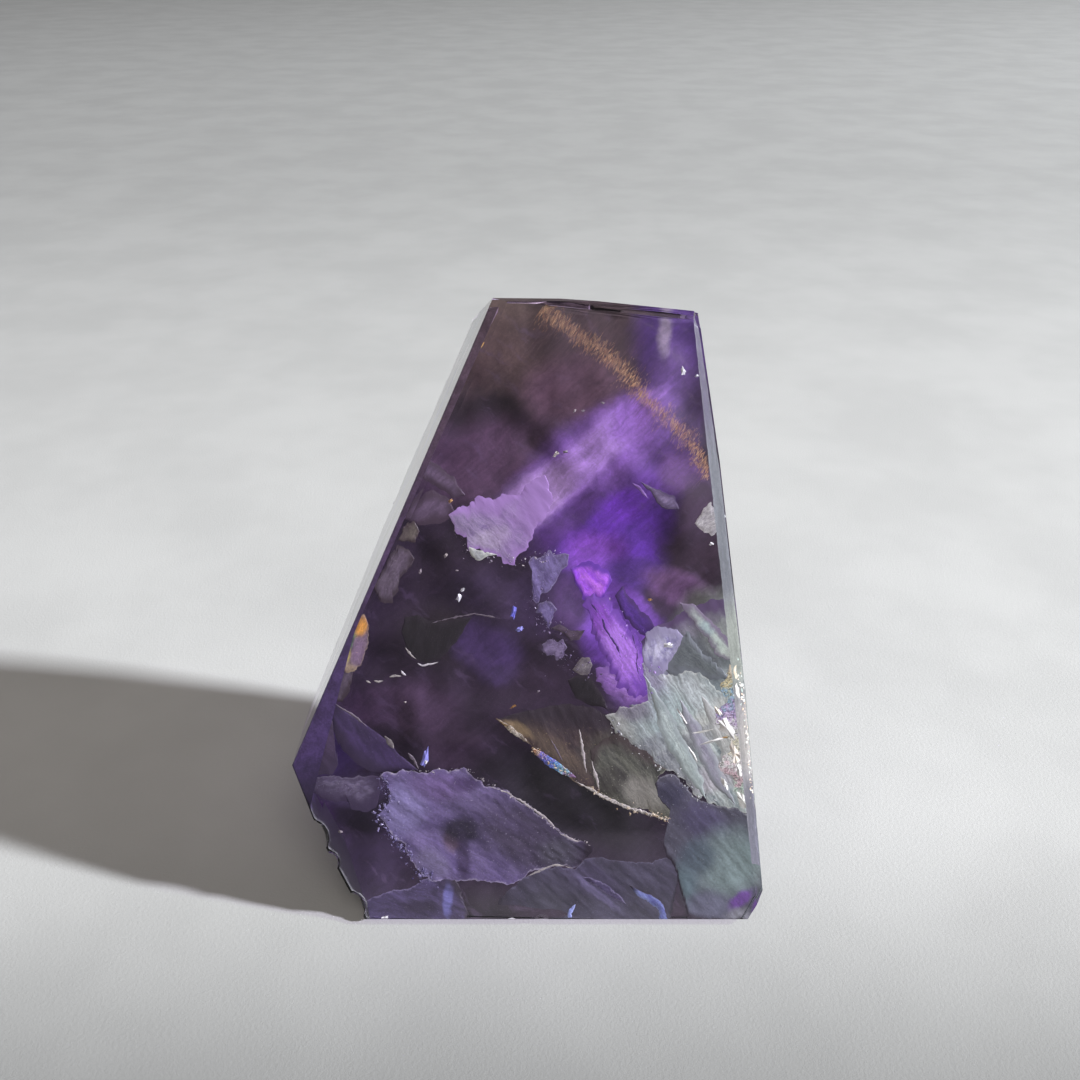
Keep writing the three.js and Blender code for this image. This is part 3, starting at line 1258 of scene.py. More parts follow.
@dataclass(frozen=True)
class FlankVeils:
    """Cleavage veils that lie behind the growth zones, near the walls that look a way.

    They keep their depth behind the polished face. light is how bright the light on them is against
    that face's.
    """

    name: str
    finish: VeilFinish
    count: int
    seed: int
    behind: float = 10.5
    size: Spot = (4.0, 11.0)
    inset: Spot = (0.4, 1.4)
    tilt: float = 0.1
    light: float = 0.7
    way: Triple = (-0.5, 0.87, 0.0)

    def build(self, stone: Stone) -> Piece:
        """Makes the veils as one mesh.

        Each veil starts from a random place inside the stone, behind the growth zones and near a
        wall that it lies nearly along. Its outline's radius is noise of the angle, and stops at the
        walls and at the growth zones.

        Args:
            stone: The stone round them.

        Returns:
            The object.
        """
        face, walls = stone.face, stone.walls
        dice = np.random.default_rng(self.seed)
        big = np.flatnonzero(walls.normals @ np.array(self.way) > 0.2)
        points, faces, rims = [], [], []
        total = 0
        while len(points) < self.count:
            wall = walls.normals[dice.choice(big)]
            start = face.place(*dice.uniform((-24, 4, self.behind + 1.5), (26, 76, 32)))
            reach = walls.room(start, wall, dice.uniform(*self.inset))
            centre = start + wall * reach[0]
            if (centre - face.edge) @ face.inward < self.behind + 1.0:
                continue
            grid, rim = self.disc(centre, wall + self.tilt * dice.normal(size=3), dice, stone)
            index = total + np.arange(grid.shape[1] * grid.shape[2]).reshape(grid.shape[1:3])
            under = index + index.size
            index[:, 0], under[:, 0] = index[0, 0], under[0, 0]
            under[:, -1] = index[:, -1]
            index[-1], under[-1] = index[0], under[0]
            faces += [split_quads(index), split_quads(under)[:, ::-1]]
            points.append(grid.reshape(-1, 3))
            rims.append(np.tile(rim.ravel(), 2))
            total += 2 * index.size
        rim = np.concatenate(rims)
        return mesh_object(self.name, np.concatenate(points), np.concatenate(faces), {"rim": rim})

    def disc(
        self, centre: Array, out: Array, dice: np.random.Generator, stone: Stone
    ) -> tuple[Array, Array]:
        """One veil's front and back grids.

        Args:
            centre: Its middle.
            out: The way that its front looks.
            dice: The source of its size and its noise.
            stone: The stone round it.

        Returns:
            Both grids, stacked, and the rim value of each point of one grid.
        """
        face, walls = stone.face, stone.walls
        normal = out / np.linalg.norm(out)
        side = np.cross(normal, (0.3, 0.2, 0.93))
        side /= np.linalg.norm(side)
        rise = np.cross(normal, side)
        turn = np.linspace(0, 2 * math.pi, 97)[:, None]
        ways = np.cos(turn) * side + np.sin(turn) * rise
        size = dice.uniform(*self.size)
        key = int(dice.integers(1000))
        lumps = fractal(2.2 * np.cos(turn[:, 0]) + 7, 2.2 * np.sin(turn[:, 0]) + 7, key, 5, smooth=False)
        behind = (centre - face.edge) @ face.inward - self.behind
        rise_rate = -ways @ face.inward
        to_zones = np.where(rise_rate > 0.01, behind / np.maximum(rise_rate, 0.01), np.inf)
        room = np.minimum(walls.room(centre, ways, 0.35), to_zones)
        radius = np.minimum(size * (0.75 + 0.35 * lumps), room)[:, None]
        share = np.linspace(0, 1, 16)[None, :]
        far = radius * share
        flat = centre + far[..., None] * ways[:, None, :]
        ripple = 0.5 * (1 - share) * fractal(far * np.cos(turn) / 3, far * np.sin(turn) / 3, key + 5)
        half = 0.08 * np.sqrt(1 - share**2)
        grids = [walls.hold(flat + (ripple + way * half)[..., None] * normal, 0.3) for way in (1, -1)]
        rim = np.clip(1.0 - radius * (1 - share) / RIM_WIDTH, 0, 1)
        return np.stack(grids), rim


@dataclass(frozen=True)
class Strokes:
    """Fine scratches under the polish, whose tones are painted highlight: the glint of the light along a
    streak.

    The streak runs along a path, and each scratch crosses it at a slant. A scratch is a thin diamond
    of eight facets.
    """

    name: str
    path: tuple[Spot, ...]
    count: int
    spread: float
    slant: float
    tones: tuple[Tone, ...]
    length: Spot = (0.4, 1.6)
    half_width: Spot = (0.012, 0.035)
    depth: float = 0.06
    thick: float = 0.012
    seed: int = 5

    def build(self, stone: Stone) -> Piece:
        """Makes all the scratches as one mesh.

        Args:
            stone: The stone round them.

        Returns:
            The object.
        """
        dice = np.random.default_rng(self.seed)
        steps = 200
        line = resampled(self.path, steps)
        pick = dice.integers(0, steps, self.count)
        clump = 0.75 + 0.45 * lattice_noise(pick / 9.0, 0.5, self.seed)
        off = dice.normal(size=self.count) * self.spread * np.clip(clump, 0.2, 1.2)
        spot = line[pick] + off[:, None] * sideways(line)[pick]
        lean = math.radians(self.slant)
        reach = self.length[1] * 0.6 * np.array((math.cos(lean), math.sin(lean)))
        ends = np.stack((spot - reach, spot + reach))
        held = stone.walls.within(stone.face.place(*ends.T, self.depth), 0.03).all(axis=1)
        spot, off = spot[held], off[held]
        count = len(spot)
        turn = np.radians(self.slant + dice.normal(size=count) * 7)
        way = np.stack((np.cos(turn), np.sin(turn)), axis=1)
        # painted highlight: the scratches thin out away from the streak's middle, as the glint fades
        fade = np.exp(-((off / (1.3 * self.spread)) ** 2))
        half = dice.uniform(*self.length, count) / 2
        thick = dice.uniform(*self.half_width, count) * (0.5 + 0.5 * fade)
        long, wide = half[:, None] * way, thick[:, None] * left_of(way)
        corners = np.stack((spot - long, spot - wide, spot + long, spot + wide, spot, spot), axis=1)
        depths = self.depth + self.thick * np.array((0, 0, 0, 0, -1, 1))
        points = stone.face.place(corners[..., 0], corners[..., 1], depths[None, :])
        tint = np.repeat(dice.uniform(0.0, 1.0, count), 6)
        return mesh_object(self.name, points.reshape(-1, 3), gem_faces(4, count), {"tint": tint}, 20.0)

    def material(self, stone: Stone) -> Material:
        """The scratches' material, each nearly of one tone of the painted highlight."""
        return TintFinish(self.name, self.tones, self.depth, 0.4, 0.6, 0.3, (0.3, 0.5)).material(stone)


@dataclass(frozen=True)
class Flakes:
    """Small loose flakes and glints, each a torn disc with a raised middle.

    spots gives each flake's place on the polished face, its half length, its half width and its lie.
    """

    name: str
    spots: tuple[Flake, ...]
    tones: tuple[Tone, ...]
    depth: float = 1.5
    rise: float = 0.15
    corners: int = 14
    seed: int = 11

    def build(self, stone: Stone) -> Piece:
        """Makes all the flakes as one mesh.

        Args:
            stone: The stone round them.

        Returns:
            The object.
        """
        dice = np.random.default_rng(self.seed)
        table = np.array(self.spots)
        count, corners = len(table), self.corners
        turn = np.linspace(0, 2 * math.pi, corners, endpoint=False)[None, :]
        ragged = 1.0 + 0.3 * dice.uniform(-1, 1, (count, corners))
        long, wide = (table[:, axis, None] * ragged for axis in (2, 3))
        lie = np.radians(table[:, 4, None])
        a, b = long * np.cos(turn), wide * np.sin(turn)
        across = table[:, 0, None] + a * np.cos(lie) - b * np.sin(lie)
        up = table[:, 1, None] + a * np.sin(lie) + b * np.cos(lie)
        across = np.concatenate((across, table[:, :1], table[:, :1]), axis=1)
        up = np.concatenate((up, table[:, 1:2], table[:, 1:2]), axis=1)
        depth = self.depth + 0.12 * dice.uniform(-1, 1, across.shape)
        depth[:, -2] -= self.rise
        depth[:, -1] += self.rise
        points = stone.walls.hold(stone.face.sink(across, up, depth), 0.15).reshape(-1, 3)
        tint = np.repeat(dice.uniform(0.0, 1.0, count), corners + 2)
        return mesh_object(self.name, points, gem_faces(corners, count), {"tint": tint}, 25.0)

    def material(self, stone: Stone) -> Material:
        """The flakes' material, mottled by the noise."""
        return TintFinish(self.name, self.tones, self.depth, 0.35, 0.7, 0.8, (0.2, 0.45)).material(stone)


# -------------------- the studio


@dataclass(frozen=True)
class Lamp:
    """A flat soft lamp that looks at the stone's middle."""

    name: str
    way: Triple
    distance: float
    size: Spot
    power: float
    tone: Triple = (1.0, 1.0, 1.0)

    def hang(self, middle: Vector) -> None:
        """Hangs the lamp in its direction from the middle, at its distance in metres."""
        light = bpy.data.lights.new(self.name, "AREA")
        light.shape = "RECTANGLE"
        light.size, light.size_y = self.size
        light.energy = self.power
        light.color = self.tone
        lamp = bpy.data.objects.new(self.name, light)
        out = Vector(self.way).normalized()
        lamp.location = middle + out * self.distance
        lamp.rotation_euler = out.to_track_quat("Z", "Y").to_euler()
        bpy.context.scene.collection.objects.link(lamp)


@dataclass(frozen=True)
class Studio:
    """The camera, the paper, the lamps and the dim room."""

    paper: PaperFinish = PaperFinish()
    lamps: tuple[Lamp, ...] = (
        Lamp("low_window", (0.871, -0.076, 0.485), 3.6, (0.215, 0.215), 312.0, (0.94, 0.975, 1.0)),
        Lamp("high_soft_box", (0.1, -0.55, 0.83), 1.1, (0.7, 0.7), 3.15, (1.0, 0.93, 0.85)),
    )
    room: Triple = (0.24, 0.228, 0.218)
    paper_side: float = 3.0
    paper_drop: float = 0.02 * MM

    def camera(self) -> None:
        """Sets the camera at its place, looking down by its dip."""
        lens = bpy.data.cameras.new("camera")
        lens.sensor_width = SENSOR
        lens.lens = SENSOR * FOCAL / IMAGE_SIDE
        lens.clip_start = 0.001
        lens.clip_end = 50.0
        camera = bpy.data.objects.new("camera", lens)
        camera.location = Vector(CAMERA_PLACE) * MM
        camera.rotation_euler = (math.radians(90.0 - CAMERA_DIP), 0.0, 0.0)
        bpy.context.scene.collection.objects.link(camera)
        bpy.context.scene.camera = camera

    def floor(self) -> None:
        """Lays the paper: a flat square on a grid, a hair below the stone's base."""
        steps = np.linspace(-self.paper_side / MM, self.paper_side / MM, 9)
        x, y = np.meshgrid(steps, steps, indexing="ij")
        points = np.stack((x, y, np.full(x.shape, -self.paper_drop / MM)), axis=2)
        index = np.arange(81).reshape(9, 9)
        sheet = mesh_object("paper", points.reshape(-1, 3), split_quads(index)[:, ::-1], {})
        sheet.data.materials.append(self.paper.material())

    def world(self) -> None:
        """Fills the room with dim, slightly warm light."""
        world = bpy.data.worlds.new("room")
        world.use_nodes = True
        back = world.node_tree.nodes["Background"]
        back.inputs["Color"].default_value = (*self.room, 1.0)
        back.inputs["Strength"].default_value = 1.0
        bpy.context.scene.world = world

    def open(self, middle: Vector) -> None:
        """Sets up everything round the stone.

        Args:
            middle: The stone's middle, which the lamps look at, in metres.
        """
        self.camera()
        self.floor()
        self.world()
        for lamp in self.lamps:
            lamp.hang(middle)
        scene = bpy.context.scene
        scene.view_settings.view_transform = "Standard"
        scene.cycles.caustics_reflective = False
        scene.cycles.caustics_refractive = False
        scene.cycles.max_bounces = 16
        scene.cycles.transmission_bounces = 12
        scene.cycles.transparent_max_bounces = 24


# -------------------- this stone


GROWTH = GrowthZones(
    zones=(
        Zone(-2, 76, 9, 9, -20, (92, 72, 72)), Zone(-4.5, 70.5, 3.5, 4, 0, (88, 70, 72)),
        Zone(9, 78, 9, 5, 0, (70, 52, 62)), Zone(-4, 67.5, 6, 4, 0, (26, 14, 20)),
        Zone(4.5, 66.5, 4, 2.5, 40, (58, 38, 60)), Zone(-5, 62, 8, 5, 20, (84, 60, 84)),
        Zone(6, 71, 6, 4, 0, (104, 76, 96)), Zone(18, 77, 4.5, 6, 0, (78, 48, 120)),
        Zone(18.3, 72, 3, 5, 0, (92, 62, 126)), Zone(20.5, 67, 2.5, 5, 0, (66, 44, 88)),
        Zone(17, 77.6, 0.9, 2.4, -8, (168, 150, 176), 0.65), Zone(12, 53, 8, 7, 0, (104, 54, 176)),
        Zone(15, 60, 5, 3.5, 0, (98, 58, 146)), Zone(17, 64, 4, 3, 0, (86, 55, 120)),
        Zone(20, 60.5, 3, 2.5, 0, (112, 78, 140)), Zone(8, 62, 12, 4.4, 40, (160, 112, 214), 0.95),
        Zone(8.5, 63.2, 9.5, 2.4, 42, (196, 152, 240), 0.95),
        Zone(1.5, 57.5, 5.5, 2.8, 40, (190, 158, 212), 0.9), Zone(13.4, 67.4, 3.5, 2.6, 40, (160, 112, 210)),
        Zone(5.4, 54.6, 6, 1.8, 42, (84, 50, 118), 0.9), Zone(9, 50.5, 4, 3, 0, (146, 84, 204)),
        Zone(12, 40.6, 5, 8, 26, (126, 78, 182), 0.95, 0.7),
        Zone(14.8, 33.8, 4.2, 5, 20, (150, 112, 188), 0.95, 0.7), Zone(12, 56, 3.6, 2.4, 30, (124, 62, 204)),
        Zone(21.5, 50, 4, 6, 0, (58, 40, 60)), Zone(22, 56, 2.6, 4, 0, (62, 43, 68)),
        Zone(15, 47.5, 5, 2, -25, (88, 54, 140)), Zone(17, 44, 3, 1.2, -35, (58, 40, 66)),
        Zone(20, 45.5, 5, 2, -20, (122, 88, 134)), Zone(24, 42.5, 3.5, 3, 0, (158, 162, 160)),
        Zone(22, 38, 4, 4, -40, (140, 148, 148)), Zone(-4, 44, 7, 5, 0, (52, 38, 64)),
        Zone(-11, 40, 5, 4, 0, (30, 22, 28)), Zone(-5, 38, 4.5, 3, -15, (74, 54, 102)),
        Zone(-3, 34.5, 3, 1.5, 0, (66, 50, 88)), Zone(2, 44, 4, 4, 0, (58, 42, 74)),
        Zone(6, 44, 2.5, 4, 0, (78, 54, 100)), Zone(-14, 30, 5.5, 4, 0, (82, 62, 88)),
        Zone(4, 33, 6, 3, 0, (48, 34, 52)), Zone(-20, 30, 4, 3, 0, (74, 54, 80)),
        Zone(-26, 24, 4, 5, 20, (74, 52, 106)), Zone(-9, 24, 4, 3, 0, (64, 47, 68)),
        Zone(6, 16, 13, 5, -28, (38, 35, 40)), Zone(-24, 9, 9, 12, 0, (41, 28, 54)),
        Zone(-28, 14.5, 2.4, 2.4, 0, (74, 46, 96)), Zone(-22.5, 18, 4.5, 2, 10, (84, 70, 104)),
        Zone(-5, 2, 5, 4, 0, (34, 26, 38)), Zone(27, 6, 5, 5, 0, (92, 104, 112)),
        Zone(4, 82.6, 20, 1.6, -4, (44, 32, 38), 0.6, 0.6)))

LILAC_WHITE = VeilFinish(
    "lilac_white_veil", (118, 98, 144), (178, 162, 196), (214, 208, 206), 3, 0.9, 3, -45,
    zones=(
        Zone(-7.6, 54.6, 2.4, 1.6, 30, (150, 134, 168), 0.7),
        Zone(-4.4, 52, 2.6, 1.4, 20, (190, 178, 200), 0.7)),
    dusk=(172, 138, 200), soft=0.6)
GREEN_WHITE = VeilFinish(
    "green_white_veil", (140, 140, 150), (196, 202, 196), (226, 230, 215), 3, 0.7, 2, -45)
BLUE_GREY = VeilFinish(
    "blue_grey_veil", (86, 72, 120), (140, 128, 178), (194, 190, 210), 3, 0.9, 2, -70, dusk=(70, 54, 92),
    soft=0.5)
PALE_LILAC = VeilFinish(
    "pale_lilac_veil", (112, 98, 134), (158, 142, 178), (205, 200, 215), 3, 0.8, 1.5, 20, dusk=(76, 60, 96),
    soft=0.75)
BROWN_LILAC = VeilFinish(
    "brown_lilac_veil", (78, 60, 80), (120, 102, 122), (180, 166, 160), 3.5, 0.6, 2, 20, dusk=(56, 42, 62),
    soft=0.8)
VIVID = VeilFinish(
    "vivid_violet_veil", (164, 78, 250), (214, 132, 255), (214, 170, 252), 3.5, 1, 2.5, -60,
    dusk=(112, 62, 180), soft=0.8)
SOFT_VIOLET = VeilFinish(
    "soft_violet_veil", (118, 62, 196), (184, 128, 240), (218, 190, 250), 3.5, 1, 3, -58, relief=0.006,
    zones=(
        Zone(12.4, 38.2, 2.4, 4.5, 25, (204, 146, 255), 0.8),
        Zone(9.6, 42, 1.6, 2.4, 0, (150, 80, 206), 0.7)),
    dusk=(126, 78, 184), soft=1)
DARK_VIOLET = VeilFinish(
    "dark_violet_veil", (76, 44, 128), (108, 66, 172), (150, 110, 220), 4, 1.2, 3, -50, dusk=(72, 44, 108),
    soft=0.9, rim_share=0.1)
MAGENTA = VeilFinish(
    "magenta_veil", (144, 98, 190), (190, 146, 224), (216, 192, 232), 3.5, 0.9, 2.5, -20,
    dusk=(136, 100, 172), soft=1)
BLUE_WHITE = VeilFinish(
    "blue_white_veil", (136, 130, 176), (210, 208, 230), (240, 240, 246), 3, 1.1, 1.4, -60,
    dusk=(160, 154, 186), soft=1, contrast=0.18)
MINT = VeilFinish(
    "mint_veil", (138, 150, 154), (212, 220, 218), (242, 244, 236), 3, 1.1, 7, -58, contrast=0.2,
    fibrous=0.68, specks=0.6,
    zones=(
        Zone(15, 33, 4, 3, -50, (178, 172, 200), 0.8), Zone(12.6, 27, 3, 2, -40, (178, 182, 172), 0.7),
        Zone(19, 29, 3.4, 5, -60, (198, 218, 216), 0.7), Zone(26.4, 21, 2, 5, -65, (214, 206, 216), 0.7),
        Zone(26.6, 28.6, 2.6, 6, -65, (238, 240, 234), 0.8),
        Zone(23.4, 26, 1.2, 6, -62, (156, 158, 168), 0.6),
        Zone(20.5, 21.5, 4, 1.6, -40, (128, 132, 140), 0.6),
        Zone(14, 29.6, 3, 1.4, -20, (130, 122, 140), 0.7),
        Zone(22.4, 31.4, 3.4, 1.6, -50, (208, 216, 218), 0.7),
        Zone(17.4, 25.4, 1, 3.4, -56, (148, 152, 160), 0.6)))
MINT_MASS = VeilFinish(
    "mint_mass_veil", (132, 142, 150), (190, 198, 202), (224, 228, 224), 4, 2.2, 3, -56, contrast=0.28,
    zones=(
        # painted shade: the dark zone at 22.5 across and 37 up
        Zone(17, 36.5, 3, 4.5, 20, (186, 184, 208), 0.85), Zone(22.5, 37, 3.6, 3.4, -40, (98, 102, 110), 0.9),
        Zone(25.4, 41, 2.8, 4, 20, (180, 186, 184), 0.9), Zone(20, 41.4, 3, 1.6, -30, (140, 132, 150), 0.7)),
    dusk=(104, 84, 124), soft=0.7)
MINT_BLADE = VeilFinish(
    "mint_blade", (154, 172, 170), (206, 220, 214), (238, 240, 232), 2.4, 0.6, 9, -62, dusk=(164, 176, 176),
    soft=0.8)
LILAC_BLADE = VeilFinish(
    "lilac_blade", (146, 142, 162), (194, 192, 206), (228, 226, 230), 2.4, 0.6, 9, -60, dusk=(160, 166, 172),
    soft=0.8)
WHITE_BLADE = VeilFinish(
    "white_blade", (186, 190, 188), (238, 240, 236), (250, 250, 246), 1.8, 0.6, 9, -64, dusk=(184, 190, 188),
    soft=0.7)
SHADED_MINT = VeilFinish(
    "shaded_mint_veil", (86, 92, 98), (118, 126, 128), (160, 168, 162), 3.2, 0.8, 4, -40,
    dusk=(122, 128, 136), soft=1)
HAZY_MINT = VeilFinish(
    "hazy_mint_veil", (146, 156, 152), (184, 194, 188), (214, 222, 212), 4, 1.1, 3, -55,
    zones=(Zone(27.4, 37, 2, 2, 0, (206, 214, 206), 0.8), Zone(23.4, 40.4, 1, 3, -50, (150, 172, 174), 0.7)),
    dusk=(112, 100, 122), soft=0.85)
BROWN = VeilFinish(
    "brown_veil", (46, 35, 40), (84, 68, 66), (176, 156, 120), 4, 1, 3, -62, contrast=0.24,
    zones=(
        Zone(8.5, 28.5, 5, 1.8, 0, (48, 34, 46), 0.9), Zone(11, 24, 3, 4, -60, (78, 76, 68), 0.7),
        Zone(4, 24.2, 4.4, 1.3, -40, (112, 98, 82), 0.5), Zone(-1, 27.4, 2.4, 0.8, -40, (150, 130, 96), 0.7)),
    dusk=(36, 26, 36), specks=0.6)
GREY_GREEN = VeilFinish(
    "grey_green_veil", (58, 58, 56), (116, 118, 106), (188, 188, 170), 3.5, 0.8, 4, -52, contrast=0.22,
    zones=(
        Zone(15.6, 17.8, 3, 2.2, -50, (150, 148, 140), 0.85), Zone(11, 19.6, 2, 2.4, -50, (66, 62, 60), 0.7)),
    dusk=(72, 62, 62), specks=0.7)
LILAC_GREY = VeilFinish(
    "lilac_grey_veil", (90, 76, 122), (128, 114, 160), (204, 196, 216), 3, 1.8, 1.6, -35, contrast=0.28,
    zones=(
        Zone(-16, 16, 3, 4, -20, (134, 126, 172), 0.8), Zone(-11.6, 19, 4, 2, -10, (122, 100, 152), 0.7),
        Zone(-8, 19.2, 2, 1, 0, (76, 58, 100), 0.9), Zone(0.5, 11.5, 8, 4.4, -35, (58, 50, 68), 0.9),
        Zone(-12.5, 8, 2.6, 1.8, -40, (124, 116, 148), 0.7),
        Zone(-4.5, 15.5, 5, 1.6, -32, (90, 78, 112), 0.6), Zone(-9.6, 11.4, 1.2, 1.6, 0, (104, 82, 98), 0.8),
        Zone(-8.4, 12.8, 2.8, 1.8, -10, (32, 24, 46), 0.95, 0.8),
        Zone(-8.2, 8.6, 0.9, 3.6, 4, (60, 46, 80), 0.85), Zone(5, 9.5, 3, 2, -10, (78, 76, 88), 0.8)))
FOOT_VIOLET = VeilFinish(
    "foot_violet_veil", (46, 36, 64), (86, 75, 116), (150, 140, 178), 3, 1.4, 2.5, -20,
    zones=(Zone(-14, 2, 3, 1, 0, (46, 36, 62), 0.9), Zone(-10.3, 3, 0.6, 2.2, 0, (112, 110, 172), 0.9)),
    dusk=(44, 35, 50))
FOOT_SLATE = VeilFinish(
    "foot_slate_veil", (52, 48, 64), (80, 76, 98), (120, 116, 140), 3.5, 2.6, 2.2, -40, contrast=0.3,
    zones=(
        Zone(9, 6, 5, 2, -30, (70, 62, 92), 0.6), Zone(3, 2, 3, 3, 0, (62, 60, 74), 0.8),
        Zone(9.5, 4.2, 4, 0.5, -38, (120, 112, 150), 0.7)),
    dusk=(40, 34, 48))
BLUE_GLOW = VeilFinish("blue_glow_veil", (100, 104, 178), (152, 164, 226), (186, 196, 240), 2.5, 0.6, 4, -45)
SLATE = VeilFinish(
    "slate_veil", (66, 64, 80), (88, 86, 102), (170, 170, 180), 3.5, 2.4, 1.6, -50, contrast=0.3,
    zones=(
        Zone(19, 18, 2, 1.8, 0, (58, 56, 80), 0.9), Zone(24, 14, 4, 2.4, -40, (74, 68, 98), 0.9),
        Zone(27, 8.5, 4.5, 5, -60, (122, 138, 140), 0.9), Zone(22.8, 9.5, 2.5, 2.5, 0, (70, 82, 96), 0.8),
        Zone(20.5, 5, 2.5, 3.4, 0, (98, 116, 126), 0.9), Zone(24.5, 2.5, 3, 2, 0, (100, 100, 122), 0.9),
        Zone(28.8, 3.4, 2, 0.9, 42, (100, 58, 140), 0.9), Zone(29.5, 0.8, 2.4, 1.4, 0, (140, 138, 152), 0.8)),
    soft=0.15)
GREY_LILAC = VeilFinish(
    "grey_lilac_veil", (66, 54, 82), (106, 96, 122), (158, 148, 168), 4, 1, 1.6, 10, dusk=(50, 36, 66),
    soft=0.6, specks=0.7, contrast=0.18, ragged=1.2)
INDIGO = VeilFinish(
    "indigo_veil", (48, 35, 66), (70, 52, 98), (120, 104, 150), 4.5, 2.4, 2, -60, rim_share=0.3,
    dusk=(50, 36, 66), soft=0.2)
PLUM = VeilFinish(
    "plum_veil", (54, 40, 66), (78, 60, 92), (130, 110, 140), 4.5, 1.8, 2, -50, rim_share=0.3,
    dusk=(52, 38, 66), soft=0.7)
BEVEL_LILAC = VeilFinish(
    "bevel_lilac_veil", (74, 60, 80), (104, 90, 108), (160, 150, 160), 2.5, 0.9, 2, 60, dusk=(54, 40, 52),
    soft=0.9)
OLIVE = VeilFinish(
    "olive_veil", (78, 68, 66), (112, 102, 98), (170, 160, 145), 2.5, 0.7, 2, 60, dusk=(58, 44, 50), soft=0.9)
HAZE = VeilFinish(
    "haze_veil", (76, 60, 82), (104, 86, 110), (140, 126, 146), 5, 1.6, 2, 40, rim_share=0.1,
    dusk=(62, 46, 62), soft=0.95)
BLACK = VeilFinish(
    "black_veil", (16, 12, 17), (26, 21, 28), (60, 50, 62), 4, 0.9, 3, 70, rim_share=0.15, dusk=(40, 31, 42),
    soft=0.4)
CRUMB = VeilFinish(
    "crumb_veil", (104, 98, 108), (160, 154, 154), (214, 208, 190), 2.5, 0.4, 1.5, 30, dusk=(64, 52, 66),
    soft=0.6)
SNOW = VeilFinish("snow_veil", (176, 170, 180), (232, 230, 232), (250, 250, 248), 1, 0.4, 1.5, 40)
THREAD = VeilFinish("thread_veil", (120, 112, 122), (196, 190, 188), (226, 222, 210), 2.2, 0.4, 2, 20)
DIM_THREAD = VeilFinish("dim_thread_veil", (78, 66, 82), (116, 104, 118), (140, 130, 140), 2.5, 0.4, 2, 20)
# partly painted light: the grey haze under the right bevel stands for its frost and for the light that the
# frost scatters, brightest a third of the way up and darker towards the crown and the foot
FROST_AND_LIGHT = VeilFinish(
    "frost_and_light_film", (84, 80, 94), (120, 120, 126), (150, 150, 154), 0.4, 1.5, 4, -80, rim_share=0.1,
    specks=0.1,
    zones=(
        Zone(22.5, 74, 4, 10, 0, (66, 58, 84), 0.95), Zone(25, 54, 4, 12, 0, (92, 96, 102), 0.9),
        Zone(28, 38, 4, 6, 0, (126, 132, 122), 0.9), Zone(30.5, 26, 3, 6, 0, (170, 166, 158), 0.7),
        Zone(32, 10, 3, 9, 0, (92, 92, 104), 0.9)))
# painted sheen: gold and spectral tones stand for the play of light along the brown wedge's rims
GOLD_SHEEN = SheenFinish(
    "gold_sheen_rim", ((150, 120, 70), (222, 214, 196), (120, 96, 70), (230, 226, 214)), 9, -38, (-4, 28))
SPECTRUM_SHEEN = SheenFinish(
    "spectrum_sheen_rim",
    ((214, 128, 60), (226, 190, 150), (120, 110, 210), (90, 140, 220), (150, 210, 220), (190, 150, 200)), 7,
    -35, (0.6, 24.6))
# painted sheen: orange, green and yellow patches stand for the play of light on a thin film near the left
# edge
FIRE_SHEEN = VeilFinish(
    "fire_sheen_film", (84, 66, 78), (142, 122, 132), (214, 190, 150), 1.1, 0.5, 2.5, 68, contrast=0.2,
    zones=(
        Zone(-21.2, 40.8, 0.9, 1.3, -20, (224, 158, 70), 0.95),
        Zone(-22.4, 38.6, 0.6, 1.5, -22, (104, 148, 112), 0.9),
        Zone(-23, 36.6, 0.6, 1.2, -22, (214, 196, 108), 0.95),
        Zone(-21.3, 37.4, 0.8, 2, -15, (136, 110, 142), 0.8),
        Zone(-22.4, 35, 1.2, 0.6, 0, (190, 166, 140), 0.8)),
    dusk=(52, 36, 46), soft=0.5)
# painted glints: white and spectral light caught on the cleavage films at the right edge
EDGE_GLINT_SHEEN = SheenFinish(
    "ice_glint",
    (
        (250, 250, 246), (244, 226, 170), (164, 206, 232), (212, 180, 230), (250, 250, 250), (240, 234, 206),
        (252, 252, 252), (240, 200, 212), (206, 230, 214), (250, 250, 248)),
    20, -80, (27.6, 36.2), shake=0.3)

